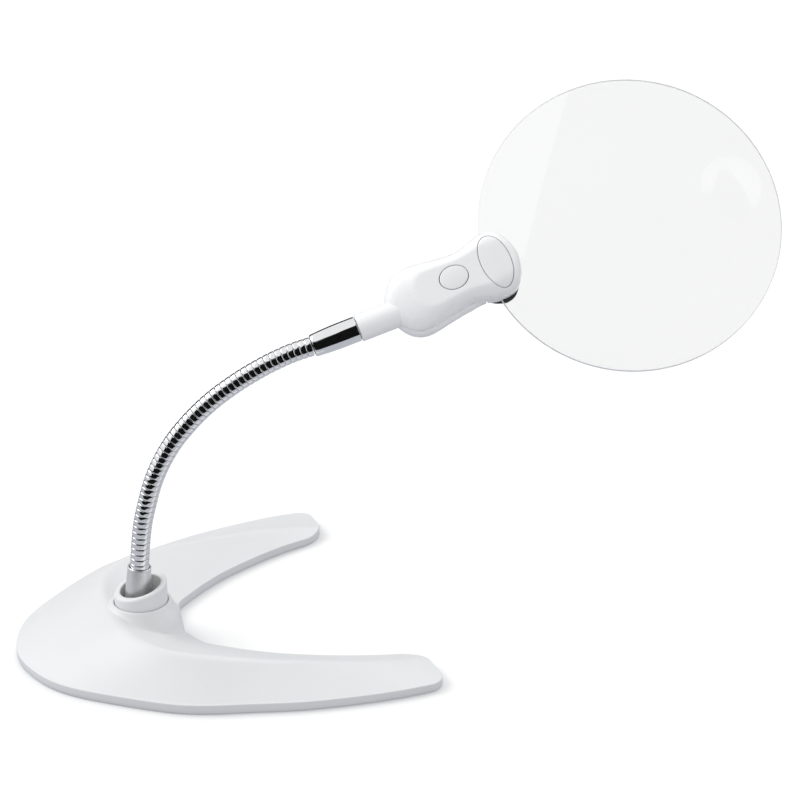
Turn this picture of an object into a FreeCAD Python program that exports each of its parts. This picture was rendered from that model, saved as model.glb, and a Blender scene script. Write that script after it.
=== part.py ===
import FreeCAD, Part
import math
import os

import Sketcher
from FreeCAD import Placement, Rotation, Vector

# Desk magnifying lamp: horseshoe base, flexible chrome neck, waisted head and a round lens.
# Frame: origin on the table under the neck socket, +X to the open side of the base, +Z up.

doc = FreeCAD.newDocument("magnifying_lamp")

# ----------------------------------------------------------------------------- driving sizes
sheet = doc.addObject("Spreadsheet::Sheet", "Dims")
SIZES = [
    ("lens_radius", 65.0, "lens outer radius"),
    ("lens_edge", 1.8, "lens thickness at its rim"),
    ("lens_curve", 480.0, "radius of both lens faces"),
    ("spot_radius", 13.0, "radius of the small strong lens"),
    ("spot_rise", 2.6, "height of the small lens over the big one"),
    ("spot_along", 46.5, "small lens centre along the handle axis"),
    ("spot_across", -1.5, "small lens centre across the handle axis"),
    ("rim_height", 3.9, "top of the base's upright edge above the table"),
    ("skirt_bottom", 0.6, "underside of the cover above the table"),
    ("cover_wall", 2.2, "base cover wall"),
    ("plate_bottom", 1.0, "underside of the bottom plate"),
    ("plate_thick", 1.2, "bottom plate thickness"),
    ("hub_top", 19.8, "height of the flat ring round the collar"),
    ("hub_radius", 12.9, "radius of the flat ring round the collar"),
    ("hub_low_z", 8.0, "height where the hub cone is measured"),
    ("hub_low_radius", 19.0, "hub cone radius at that height"),
    ("collar_radius", 11.5, "collar outside"),
    ("collar_bore", 8.8, "collar inside"),
    ("collar_rim", 26.9, "collar rim height on its axis"),
    ("collar_slope", 14.3, "slope of the collar rim, degrees"),
    ("collar_low", 7.0, "collar underside"),
    ("flange_radius", 13.3, "collar flange"),
    ("flange_low", 7.0, "collar flange underside"),
    ("flange_high", 9.0, "collar flange top"),
    ("lug_radius", 3.3, "screw lug on the collar flange"),
    ("lug_place", 15.2, "distance of the collar screws from the neck socket axis"),
    ("stud_radius", 3.9, "swivel stud of the lower ferrule"),
    ("stud_clear", 0.08, "radial running clearance of the swivel stud"),
    ("ferrule_mouth", 5.1, "lower ferrule radius at its mouth"),
    ("ferrule_foot", 5.5, "lower ferrule radius inside the collar"),
    ("neck_radius", 4.1, "flexible neck, crest of a ring"),
    ("neck_core", 3.3, "flexible neck, groove radius"),
    ("neck_bore", 1.9, "wire way through the neck"),
    ("ring_pitch", 2.57, "ring spacing along the neck"),
    ("ring_half", 0.95, "half the length of one ring"),
    ("tip_radius", 5.4, "upper ferrule at the head end"),
    ("tip_mouth", 4.8, "upper ferrule at the neck end"),
    ("tip_length", 20.3, "upper ferrule length"),
    ("spigot_radius", 3.4, "turning spigot of the head stem"),
    ("spigot_clear", 0.06, "radial running clearance of the spigot"),
    ("stem_radius", 5.95, "head stem"),
    ("shell_wall", 1.8, "head shell wall"),
    ("button_long", 12.3, "button length along the head"),
    ("button_wide", 9.8, "button width"),
    ("button_gap", 0.3, "gap round the button"),
    ("plate_long", 12.6, "oval cover plate, along the head"),
    ("plate_wide", 23.4, "oval cover plate, across the head"),
    ("plate_deep", 1.0, "recess of the oval cover plate"),
    ("cell_radius", 10.0, "coin cell"),
    ("cell_thick", 3.2, "coin cell thickness"),
    ("screw_shank", 1.1, "self tapping screw shank"),
    ("screw_head", 2.3, "self tapping screw head"),
    ("foot_radius", 4.5, "rubber foot"),
]
for i, (alias, number, note) in enumerate(SIZES, 1):
    sheet.set("A%d" % i, alias)
    sheet.set("B%d" % i, str(number))
    sheet.setAlias("B%d" % i, alias)
    sheet.set("C%d" % i, note)
doc.recompute()


class Dim:
    """A number together with the spreadsheet expression that gives it."""

    def __init__(self, value, text):
        self.v, self.s = float(value), text

    @staticmethod
    def of(x):
        return x if isinstance(x, Dim) else Dim(x, repr(float(x)))

    def __add__(self, o):
        o = Dim.of(o)
        return Dim(self.v + o.v, "(%s + %s)" % (self.s, o.s))

    def __sub__(self, o):
        o = Dim.of(o)
        return Dim(self.v - o.v, "(%s - %s)" % (self.s, o.s))

    def __mul__(self, o):
        o = Dim.of(o)
        return Dim(self.v * o.v, "(%s * %s)" % (self.s, o.s))

    def __truediv__(self, o):
        o = Dim.of(o)
        return Dim(self.v / o.v, "(%s / %s)" % (self.s, o.s))

    def __neg__(self):
        return Dim(-self.v, "(-1 * %s)" % self.s)

    def __radd__(self, o):
        return Dim.of(o) + self

    def __rsub__(self, o):
        return Dim.of(o) - self


def d(alias):
    return Dim(float(sheet.get(alias)), "Dims." + alias)


def v(alias):
    return float(sheet.get(alias))


NODES = {}


def keep(obj, label):
    obj.Label = label
    NODES[label] = obj
    return obj


def bind(obj, **props):
    for name, value in props.items():
        value = Dim.of(value)
        setattr(obj, name, value.v)
        obj.setExpression(name, value.s)
    return obj


def cylinder(name, radius, height, place=None):
    c = doc.addObject("Part::Cylinder", name)
    bind(c, Radius=radius, Height=height)
    c.Placement = place or Placement()
    return c


def cone(name, low, high, height, place=None):
    c = doc.addObject("Part::Cone", name)
    bind(c, Radius1=low, Radius2=high, Height=height)
    c.Placement = place or Placement()
    return c


def block(name, length, width, height, place=None):
    b = doc.addObject("Part::Box", name)
    bind(b, Length=length, Width=width, Height=height)
    b.Placement = place or Placement()
    return b


def cut(name, base, *tools):
    for k, tool in enumerate(tools):
        c = doc.addObject("Part::Cut", name if k == len(tools) - 1 else "%s_c%d" % (name, k))
        c.Base, c.Tool = base, tool
        base = c
    return base


def fuse(name, *shapes):
    f = doc.addObject("Part::MultiFuse", name)
    f.Shapes = list(shapes)
    return f


def common(name, a, b):
    c = doc.addObject("Part::Common", name)
    c.Base, c.Tool = a, b
    return c


def group(name, *shapes):
    g = doc.addObject("Part::Compound", name)
    g.Links = list(shapes)
    return g


def feature(name, shape):
    f = doc.addObject("Part::Feature", name)
    f.Shape = shape
    return f


def role(body, wanted):
    return [o for o in body.Origin.OriginFeatures if o.Role == wanted][0]


def outline_sketch(body, name, plane, points):
    """A closed outline of straight lines whose corners are bound to the sheet."""
    sk = body.newObject("Sketcher::SketchObject", name)
    sk.AttachmentSupport = [(role(body, plane), "")]
    sk.MapMode = "FlatFace"
    pts = [(Dim.of(a), Dim.of(b)) for a, b in points]
    n = len(pts)
    for k in range(n):
        a, b = pts[k], pts[(k + 1) % n]
        sk.addGeometry(Part.LineSegment(Vector(a[0].v, a[1].v, 0), Vector(b[0].v, b[1].v, 0)), False)
    for k in range(n):
        sk.addConstraint(Sketcher.Constraint("Coincident", k, 2, (k + 1) % n, 1))
    for k, (a, b) in enumerate(pts):
        for kind, axis, val in (("DistanceX", -2, a), ("DistanceY", -1, b)):
            if abs(val.v) < 1e-9:
                sk.addConstraint(Sketcher.Constraint("PointOnObject", k, 1, axis))
            else:
                c = sk.addConstraint(Sketcher.Constraint(kind, -1, 1, k, 1, val.v))
                if "Dims" in val.s:
                    sk.setExpression("Constraints[%d]" % c, val.s)
    return sk


def turned(label, points, place=None):
    """A turned part: an outline of (radius, height) corners spun about its own Z axis."""
    body = doc.addObject("PartDesign::Body", label)
    sk = outline_sketch(body, label + "_outline", "XZ_Plane", points)
    rev = body.newObject("PartDesign::Revolution", label + "_turn")
    rev.Profile = sk
    rev.ReferenceAxis = (sk, ["V_Axis"])
    rev.Angle = 360.0
    sk.Visibility = False
    body.Placement = place or Placement()
    return body


def padded(label, points, length, place=None):
    body = doc.addObject("PartDesign::Body", label)
    sk = outline_sketch(body, label + "_outline", "XY_Plane", points)
    pad = body.newObject("PartDesign::Pad", label + "_pad")
    pad.Profile = sk
    bind(pad, Length=length)
    body.Placement = place or Placement()
    return body


def frame_of(origin, zdir, xhint):
    """A placement with local Z along zdir and local X as near xhint as it can be."""
    z = Vector(zdir).normalize()
    x = Vector(xhint) - z * z.dot(Vector(xhint))
    x.normalize()
    y = z.cross(x)
    m = FreeCAD.Matrix(x.x, y.x, z.x, origin.x, x.y, y.y, z.y, origin.y, x.z, y.z, z.z, origin.z, 0, 0, 0, 1)
    return Placement(m)


def at(x, y, z):
    return Placement(Vector(x, y, z), Rotation())


# ----------------------------------------------------------------------------- reference lines
# The neck stands in an upright plane turned a little from the base's own middle plane.
YAW = math.radians(-8.5)
E = Vector(math.cos(YAW), math.sin(YAW), 0)
SIDE = Vector(-math.sin(YAW), math.cos(YAW), 0)
UP = Vector(0, 0, 1)


def in_plane(a, z):
    return E * a + UP * z


# Lens frame: centre, handle direction, direction across and the lens normal.
LENS_C = Vector(213.88, -31.96, 174.70)
H_DIR = Vector(0.942856, -0.140911, 0.301938).normalize()
N_DIR = Vector(-0.297366, -0.764662, 0.571721)
N_DIR = (N_DIR - H_DIR * N_DIR.dot(H_DIR)).normalize()
W_DIR = N_DIR.cross(H_DIR)
LENS_FRAME = frame_of(LENS_C, N_DIR, H_DIR)

# The stem and the upper ferrule share one axis along the handle, at the head's mid height.
STEM_OFF = -0.92 * W_DIR + 3.75 * N_DIR
STEM_ZERO = LENS_C + STEM_OFF


def on_stem(along):
    return frame_of(STEM_ZERO + H_DIR * along, H_DIR, N_DIR)


# The head body is turned 2.15 degrees in the lens plane about a point near its tail.
HEAD_TURN = math.radians(2.15)
HX = H_DIR * math.cos(HEAD_TURN) + W_DIR * math.sin(HEAD_TURN)
HEAD_O = LENS_C + H_DIR * -100.0 + W_DIR * 1.0 + HX * 100.0
HEAD_FRAME = frame_of(HEAD_O, N_DIR, HX)


def in_head(x, y, z):
    return HEAD_FRAME.multiply(at(x, y, z))


# Lower ferrule axis: leans forward 5.7 degrees.
LEAN = math.radians(5.7)
FERRULE_DIR = (E * math.sin(LEAN) + UP * math.cos(LEAN)).normalize()
MOUTH = in_plane(0.13, 36.0)


def on_ferrule(along):
    return frame_of(MOUTH + FERRULE_DIR * along, FERRULE_DIR, E)


# Neck centre line, from the lower ferrule's mouth to the upper ferrule's mouth.
LINE = [(0.13, 36.0), (0.9, 43.8), (1.7, 50.9), (2.9, 57.9), (4.6, 64.6), (6.5, 71.3), (8.8, 77.7),
        (11.7, 83.8), (15.0, 89.5), (18.8, 94.8), (23.0, 99.6), (27.4, 104.1), (32.0, 108.2), (36.9, 112.0),
        (42.0, 115.4), (47.2, 118.6), (52.6, 121.5), (58.1, 124.2), (63.9, 126.6), (69.8, 128.7)]
TIP_MOUTH_ALONG = -145.65
tip_mouth = STEM_ZERO + H_DIR * TIP_MOUTH_ALONG
neck_points = []
for k, (a, z) in enumerate(LINE):
    t = k / float(len(LINE))
    ease = t * t * (3 - 2 * t)
    neck_points.append(in_plane(a, z) + STEM_OFF * ease)
neck_points.append(tip_mouth)
neck_curve = Part.BSplineCurve()
neck_curve.interpolate(neck_points, InitialTangent=FERRULE_DIR, FinalTangent=H_DIR)
NECK_LENGTH = neck_curve.length()


def neck_at(s):
    """Point and direction of the neck line at a distance s from the lower mouth."""
    if s <= 0:
        return MOUTH + FERRULE_DIR * s, FERRULE_DIR
    if s >= NECK_LENGTH:
        return tip_mouth + H_DIR * (s - NECK_LENGTH), H_DIR
    u = neck_curve.parameterAtDistance(s, neck_curve.FirstParameter)
    p = neck_curve.value(u)
    return p, Vector(*neck_curve.tangent(u)[0]).normalize()


# ----------------------------------------------------------------------------- base plan
# Half plan of the horseshoe, from the back round to one leg tip: outer edge, ridge, inner edge.
OUTER = [(-54.7, 0), (-52.6, 13), (-47.3, 26), (-39.3, 36.6), (-28.3, 46.6), (-15.2, 57.2), (-2, 66.2), (10.5, 71.6),
         (24.6, 76), (44.2, 81.9), (64.5, 85.8), (85.6, 88.2), (99.5, 88.4), (112, 88.4)]
RIDGE = [(-13.8, 0, 18.5), (-13.8, 9, 18.4), (-13.2, 18, 18.2), (-11, 27, 18), (-6.5, 36, 17.7), (0.5, 43.8, 17.3),
         (9, 49.2, 16.7), (18, 53, 15.8), (28, 56.6, 14.7), (42, 60.6, 13.1), (58, 63.9, 11.2), (78, 66.8, 8.6),
         (95, 67.6, 6.3), (112, 68.0, 4.1)]
INNER = [(16, 0), (16.7, 5), (18.3, 10), (20.3, 15.4), (22.9, 20.4), (28.8, 25.6), (35, 30.7), (41, 35), (47.1, 39.1),
         (58.7, 45.3), (70.2, 50.6), (81.6, 55), (92.9, 58.5), (112, 63.6)]


def both(points):
    """Half list mirrored into the whole horseshoe, from the -Y tip round to the +Y tip."""
    return [tuple([p[0], -p[1]] + list(p[2:])) for p in reversed(points[1:])] + list(points)


def arm_solid(drop, floor):
    """The horseshoe as a loft of five-cornered sections that run 3 mm past both edges, lowered by drop."""
    wires = []
    rim = v("rim_height")
    for o, r, i in zip(both(OUTER), both(RIDGE), both(INNER)):
        pr = Vector(r[0], r[1], 0)
        ends = []
        for q in (o, i):
            pq = Vector(q[0], q[1], 0)
            run = (pr - pq).Length
            out = (pq - pr).normalize()
            ends.append((pq + out * 3.0, rim - (r[2] - rim) * 3.0 / run - drop))
        (po, zo), (pi, zi) = ends
        pts = [Vector(po.x, po.y, floor), Vector(po.x, po.y, zo), Vector(r[0], r[1], r[2] - drop),
               Vector(pi.x, pi.y, zi), Vector(pi.x, pi.y, floor)]
        wires.append(Part.makePolygon(pts + [pts[0]]))
    return Part.makeLoft(wires, True, False)


def plan_face(inset):
    """The horseshoe's outline as a face, with rounded leg tips, moved in by inset."""
    rows = {"o": [], "i": []}
    for o, r, i in zip(both(OUTER), both(RIDGE), both(INNER)):
        pr = Vector(r[0], r[1], 0)
        for key, q in (("o", o), ("i", i)):
            pq = Vector(q[0], q[1], 0)
            rows[key].append(pq + (pr - pq).normalize() * inset)
    tip = 107.2 - inset
    limit = 99.6 - inset
    outer = [q for q in rows["o"][1:-1] if q.x <= limit + 0.2]
    inner = [q for q in rows["i"][1:-1] if q.x <= limit - 0.5]
    co, ci = Part.BSplineCurve(), Part.BSplineCurve()
    co.interpolate(outer)
    ci.interpolate(inner)
    edges = [co.toShape()]
    for s, a, e in ((-1, outer[0], inner[0]), (1, outer[-1], inner[-1])):
        b = Vector(tip, a.y - s * 7.0, 0)
        c = Vector(tip - 0.6, e.y + s * 11.0, 0)
        edges.append(Part.Arc(a, Vector(a.x + 0.72 * (b.x - a.x), a.y - s * 2.1, 0), b).toShape())
        edges.append(Part.LineSegment(b, c).toShape())
        edges.append(Part.Arc(c, Vector(e.x + 0.72 * (c.x - e.x), e.y + s * 5.0, 0), e).toShape())
    edges.append(ci.toShape())
    wire = Part.Wire(Part.__sortEdges__(edges))
    return Part.Face(wire)


def plan_slab(inset, low, high):
    face = plan_face(inset)
    face.translate(Vector(0, 0, low))
    return face.extrude(Vector(0, 0, high - low))


WALL = v("cover_wall")
RIM = v("rim_height")
BOT = v("skirt_bottom")

# Screw bosses inside the cover: bottom plate screws and collar clamp screws.
PLATE_SCREWS = [(-8.0, 34.0), (-8.0, -34.0), (66.0, 68.5), (66.0, -68.5), (-40.5, 0.0)]
COLLAR_SCREWS = [(0.0, v("lug_place")), (0.0, -v("lug_place")), (-v("lug_place"), 0.0)]

outer_mass = arm_solid(0, -8)
hub_cone = Part.makeCone(v("hub_low_radius") + 4.2 * (v("hub_low_radius") - v("hub_radius")) / (v("hub_top") - v("hub_low_z")),
                         v("hub_radius"), v("hub_top") - v("hub_low_z") + 4.2, Vector(0, 0, v("hub_low_z") - 4.2))
outer_mass = outer_mass.fuse(hub_cone).common(plan_slab(0, BOT, 40))
inner_mass = arm_solid(WALL, -9)
inner_cone = Part.makeCone(v("hub_low_radius") + 4.2 * 0.52 - WALL, v("hub_radius") - 0.6, v("hub_top") - v("hub_low_z") + 4.2 - 2.6,
                           Vector(0, 0, v("hub_low_z") - 4.2))
inner_mass = inner_mass.fuse(inner_cone).common(plan_slab(2.2, -6, 40))
shell = outer_mass.cut(inner_mass)
for x, y in PLATE_SCREWS:
    boss = Part.makeCylinder(2.9, 30, Vector(x, y, v("plate_bottom") + v("plate_thick"))).common(outer_mass)
    shell = shell.fuse(boss)
for x, y in COLLAR_SCREWS:
    boss = Part.makeCylinder(2.4, 14, Vector(x, y, v("flange_high") + 0.1)).common(outer_mass)
    shell = shell.fuse(boss)
shell = shell.cut(Part.makeCylinder(v("collar_radius") + 0.2, 40, Vector(0, 0, 3)))
for x, y in PLATE_SCREWS:
    shell = shell.cut(Part.makeCylinder(v("screw_shank") + 0.05, 7.2 if x > 0 else 6.2, Vector(x, y, 0)))
for x, y in COLLAR_SCREWS:
    shell = shell.cut(Part.makeCylinder(v("screw_shank") + 0.05, 13.4, Vector(x, y, 0)))
keep(feature("base_cover_shape", shell), "base_cover")

# Bottom plate with countersunk screw holes and the battery hatch opening.
P0, PT = v("plate_bottom"), v("plate_thick")
HATCH = (-34.5, -12.5, 24.0)  # x from, x to, half width
plate = plan_slab(2.6, P0, P0 + PT)
plate = plate.cut(Part.makeBox(HATCH[1] - HATCH[0], 2 * HATCH[2], 10, Vector(HATCH[0], -HATCH[2], -2)))
for x, y in PLATE_SCREWS:
    plate = plate.cut(Part.makeCylinder(v("screw_shank") + 0.3, 10, Vector(x, y, -2)))
    plate = plate.cut(Part.makeCylinder(v("screw_head") + 0.2, 0.75, Vector(x, y, P0 - 0.05)))
plate = plate.cut(Part.makeCylinder(v("screw_head") + 0.2, 0.75, Vector(-32.5, 0, P0 - 0.05)))
keep(feature("base_bottom_plate_shape", plate), "base_bottom_plate")

# Steel weight, shaped to the inside of the cover.
weight = arm_solid(WALL + 0.9, -9).common(plan_slab(7.5, 2.5, 9.0))
weight = weight.cut(Part.makeCylinder(20.5, 30, Vector(0, 0, 0)))
weight = weight.cut(Part.makeBox(60, 52, 20, Vector(-63, -26, 0)))
for x, y in PLATE_SCREWS:
    weight = weight.cut(Part.makeCylinder(3.5, 20, Vector(x, y, 0)))
keep(feature("base_weight_shape", weight), "base_weight")

# Rubber feet, one under the hub and the others near the edge.
feet = []
for k, (x, y) in enumerate([(0, 0), (-46.5, 0), (4, 60), (4, -60), (94, 77), (94, -77)]):
    foot = cylinder("foot_%d" % (k + 1), d("foot_radius"), d("plate_bottom"), at(x, y, 0))
    feet.append(foot)
keep(group("base_feet_group", *feet), "base_feet")


def screw(name, place, shank_length, head_height=0.7):
    """A self tapping screw standing head down at the given place."""
    head = cylinder(name + "_head", d("screw_head"), Dim.of(head_height), place)
    shank = cylinder(name + "_shank", d("screw_shank"), Dim.of(shank_length),
                     place.multiply(at(0, 0, head_height)))
    solid = fuse(name + "_fuse", head, shank)
    slot = block(name + "_slot", Dim.of(3.0), Dim.of(0.6), Dim.of(0.35), place.multiply(at(-1.5, -0.3, -0.05)))
    return cut(name, solid, slot)


keep(group("base_screws_group", *[screw("base_screw_%d" % k, at(x, y, P0), 4.4) for k, (x, y) in enumerate(PLATE_SCREWS)]), "base_screws")

# Battery hatch: tray, two coin cells, contacts, door and its screw.
tray_out = block("tray_out", 24.0, 50.0, 3.4, at(-36.9, -25.0, P0 + PT + 0.1))
tray_cell_a = cylinder("tray_cell_a", d("cell_radius") + 0.25, 4.3, at(-23.5, 11.6, P0 + PT - 0.2))
tray_cell_b = cylinder("tray_cell_b", d("cell_radius") + 0.25, 4.3, at(-23.5, -11.6, P0 + PT - 0.2))
tray_post = cylinder("tray_post", d("screw_shank") + 0.05, 4.6, at(-32.5, 0, P0 + PT - 0.2))
keep(cut("battery_tray_cut", tray_out, tray_cell_a, tray_cell_b, tray_post), "battery_tray")
cells = []
for k, y in enumerate((11.6, -11.6)):
    can = cylinder("cell_can_%d" % k, d("cell_radius"), d("cell_thick") - 0.5, at(-23.5, y, P0 + PT + 0.15))
    cap = cylinder("cell_cap_%d" % k, d("cell_radius") - 1.4, 0.5, at(-23.5, y, P0 + PT + 0.15 + v("cell_thick") - 0.5))
    cells.append(fuse("cell_%d" % k, can, cap))
keep(group("battery_cells_group", *cells), "battery_cells")
contacts = []
for k, y in enumerate((11.6, -11.6)):
    contacts.append(block("contact_%d" % k, 9.0, 3.2, 0.3, at(-28.0, y - 1.6, P0 + PT + 0.15 + v("cell_thick") + 0.1)))
keep(group("battery_contacts_group", *contacts), "battery_contacts")
door = block("door_plate", HATCH[1] - HATCH[0] - 0.4, 2 * HATCH[2] - 0.4, d("plate_thick"), at(HATCH[0] + 0.2, -HATCH[2] + 0.2, P0))
door_hole = cylinder("door_hole", d("screw_shank") + 0.3, 5.0, at(-32.5, 0, P0 - 1))
door_sink = cylinder("door_sink", d("screw_head") + 0.2, 0.75, at(-32.5, 0, P0 - 0.05))
keep(cut("battery_door_cut", door, door_hole, door_sink), "battery_door")
keep(screw("door_screw", at(-32.5, 0, P0), 4.2), "battery_door_screw")

# ----------------------------------------------------------------------------- collar and swivel
FLOOR_TOP = -23.2      # along the ferrule axis, from its mouth
FLOOR_LOW = -26.2
col = cylinder("collar_body", d("collar_radius"), 33.0 - d("collar_low"), at(0, 0, v("collar_low")))
col_flange = cylinder("collar_flange", d("flange_radius"), d("flange_high") - d("flange_low"), at(0, 0, v("flange_low")))
col_lugs = [cylinder("collar_lug_%d" % k, d("lug_radius"), d("flange_high") - d("flange_low"), at(x, y, v("flange_low"))) for k, (x, y) in enumerate(COLLAR_SCREWS)]
col_holes = [cylinder("collar_screw_hole_%d" % k, d("screw_shank") + 0.3, 12.0, at(x, y, 0)) for k, (x, y) in enumerate(COLLAR_SCREWS)]
col_all = fuse("collar_all", col, col_flange, *col_lugs)
col_bore = cylinder("collar_bore_cut", d("collar_bore"), 30.0, at(0, 0, 14.2))
tilt = Placement(Vector(0, 0, v("collar_rim")), Rotation(Vector(0, 1, 0), -v("collar_slope")))
col_slice = block("collar_slice", 60.0, 60.0, 30.0, tilt.multiply(at(-30, -30, 0)))
col_seat = cylinder("collar_seat", 8.0, 5.0, on_ferrule(FLOOR_TOP))
col_hole = cylinder("collar_hole", d("stud_radius") + d("stud_clear"), 30.0, on_ferrule(-40))
col_under = cylinder("collar_under", 8.4, 20.0, on_ferrule(FLOOR_LOW - 20))
collar = cut("collar_cut", col_all, col_bore, col_slice, col_seat, col_hole, col_under, *col_holes)
doc.recompute()
rim_edges = []
plane_n = Vector(-math.sin(math.radians(v("collar_slope"))), 0, math.cos(math.radians(v("collar_slope"))))
for k, e in enumerate(collar.Shape.Edges, 1):
    pts = [e.valueAt(e.FirstParameter + (e.LastParameter - e.FirstParameter) * t) for t in (0, 0.3, 0.6)]
    if all(abs((p - Vector(0, 0, v("collar_rim"))).dot(plane_n)) < 1e-3 for p in pts) and e.Length > 5:
        rad = math.hypot(pts[1].x, pts[1].y)
        rim_edges.append((k, 1.5, 1.5) if rad > 10 else (k, 0.7, 0.7))
rounded = doc.addObject("Part::Fillet", "collar_round")
rounded.Base = collar
rounded.Edges = rim_edges
keep(rounded, "collar")

keep(group("collar_screws_group", *[screw("collar_screw_%d" % k, at(x, y, v("flange_low") - 0.75), 6.2) for k, (x, y) in enumerate(COLLAR_SCREWS)]), "collar_screws")

# Lower ferrule: tapered sleeve, foot flange on the collar floor, hollow threaded stud.
LF = 32.0  # the outline's height zero lies this far below the mouth
keep(turned("lower_ferrule_body", [
    (d("neck_bore"), 0.0), (d("stud_radius"), 0.0), (d("stud_radius"), LF + FLOOR_TOP + 0.05), (7.4, LF + FLOOR_TOP + 0.05),
    (7.4, LF + FLOOR_TOP + 1.6), (d("ferrule_foot"), LF + FLOOR_TOP + 1.6), (d("ferrule_foot"), LF - 9.0),
    (d("ferrule_mouth"), LF - 0.4), (d("ferrule_mouth") - 0.3, LF), (d("neck_radius") + 0.2, LF),
    (d("neck_radius") + 0.2, LF - 4.0), (d("neck_bore"), LF - 4.0)], on_ferrule(-LF)), "lower_ferrule")
keep(turned("swivel_washer_body", [(d("stud_radius") + 0.1, 0.0), (7.4, 0.0), (7.4, 0.8), (d("stud_radius") + 0.1, 0.8)],
            on_ferrule(FLOOR_LOW - 0.85)), "swivel_washer")
nut_out = doc.addObject("Part::Prism", "nut_out")
nut_out.Polygon = 6
bind(nut_out, Circumradius=6.8, Height=2.6)
nut_out.Placement = on_ferrule(FLOOR_LOW - 3.5)
nut_bore = cylinder("nut_bore", d("stud_radius") + 0.05, 6.0, on_ferrule(FLOOR_LOW - 6))
keep(cut("swivel_nut_cut", nut_out, nut_bore), "swivel_nut")

# ----------------------------------------------------------------------------- flexible neck
PITCH = v("ring_pitch")
FIRST = 0.6
LINKS = 13
PER_LINK = 4


def ring_solid():
    """One rounded ring of the neck, centred on its own origin."""
    half, core, crest = v("ring_half"), v("neck_core"), v("neck_radius")
    p = [Vector(0, 0, -half), Vector(core, 0, -half), Vector(crest, 0, 0), Vector(core, 0, half), Vector(0, 0, half)]
    edges = [Part.LineSegment(p[0], p[1]).toShape(), Part.Arc(p[1], p[2], p[3]).toShape(),
             Part.LineSegment(p[3], p[4]).toShape(), Part.LineSegment(p[4], p[0]).toShape()]
    return Part.Face(Part.Wire(edges)).revolve(Vector(0, 0, 0), Vector(0, 0, 1), 360)


ring = ring_solid()
for link in range(LINKS):
    places = []
    for k in range(PER_LINK):
        s = FIRST + PITCH * (link * PER_LINK + k)
        p, t = neck_at(s)
        places.append((p, t))
    solid = None
    for p, t in places:
        one = ring.copy()
        one.Placement = frame_of(p, t, SIDE)
        solid = one if solid is None else solid.fuse(one)
    first, last = places[0][0], places[-1][0]
    chord = (last - first).normalize()
    middle = (first + last) * 0.5
    run = (last - first).Length
    solid = solid.fuse(Part.makeCylinder(v("neck_core") - 0.35, run + 1.2, middle - chord * (run / 2 + 0.6), chord))
    solid = solid.cut(Part.makeCylinder(v("neck_bore"), run + 6.0, middle - chord * (run / 2 + 3.0), chord))
    keep(feature("neck_link_%02d_shape" % (link + 1), solid), "neck_link_%02d" % (link + 1))

# Upper ferrule: ogive sleeve crimped on the neck's last ring, bored for the head stem's spigot.
TL = v("tip_length")
keep(turned("upper_ferrule_body", [
    (d("neck_radius") + 0.12, 0.0), (d("tip_mouth") - 0.25, 0.0), (d("tip_mouth"), 0.35), (d("tip_mouth") + 0.27, 3.5),
    (d("tip_mouth") + 0.47, 7.5), (d("tip_radius"), 13.0), (d("tip_radius"), d("tip_length") - 0.3),
    (d("tip_radius") - 0.3, d("tip_length")), (d("spigot_radius") + d("spigot_clear"), d("tip_length")),
    (d("spigot_radius") + d("spigot_clear"), 8.0), (d("neck_bore"), 8.0), (d("neck_bore"), 4.2),
    (d("neck_radius") + 0.12, 4.2)], on_stem(TIP_MOUTH_ALONG)), "upper_ferrule")

# ----------------------------------------------------------------------------- head
STEM_START = TIP_MOUTH_ALONG + TL + 0.15
SP = TL + 0.15 - 8.3
keep(turned("head_stem_body", [
    (1.4, 0.0), (d("spigot_radius") - 0.3, 0.0), (d("spigot_radius"), 0.4), (d("spigot_radius"), SP),
    (d("stem_radius") - 0.3, SP), (d("stem_radius"), SP + 0.3), (d("stem_radius"), SP + 18.5), (d("stem_radius") - 1.2, SP + 18.5),
    (d("stem_radius") - 1.2, SP + 20.5), (d("stem_radius"), SP + 20.5), (d("stem_radius"), SP + 23.0), (1.4, SP + 23.0)],
    on_stem(STEM_START - SP)), "head_stem")

# Stations along the head: x, half width, top, bottom.
HEAD = [(-110.2, 5.2, 7.2, 0.6), (-108.6, 8.9, 8.9, -1.6), (-105.4, 13.0, 10.6, -3.4), (-100.0, 15.6, 11.8, -4.4),
        (-92.0, 15.2, 12.4, -4.7), (-85.0, 14.1, 12.5, -4.7), (-78.0, 13.3, 12.5, -4.7), (-72.0, 13.6, 12.5, -4.7),
        (-66.0, 14.9, 12.5, -4.7), (-61.0, 15.7, 12.5, -4.7), (-57.0, 14.6, 12.2, -4.6), (-53.8, 11.2, 11.4, -4.3),
        (-52.0, 7.2, 10.2, -4.0)]


def head_loft(inset):
    wires = []
    for x, half, top, low in HEAD:
        a, b, zc = half - inset, (top - low) / 2 - inset, (top + low) / 2
        if inset:
            x = max(min(x, -52.0 - inset), -110.2 + inset) if False else x
        pts = []
        for k in range(28):
            ang = 2 * math.pi * k / 28
            cs, sn = math.cos(ang), math.sin(ang)
            pts.append(Vector(x, a * math.copysign(abs(cs) ** (2 / 2.7), cs), zc + b * math.copysign(abs(sn) ** (2 / 2.7), sn)))
        c = Part.BSplineCurve()
        c.interpolate(pts, PeriodicFlag=True)
        wires.append(Part.Wire(c.toShape()))
    return Part.makeLoft(wires, True, False)


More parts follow.
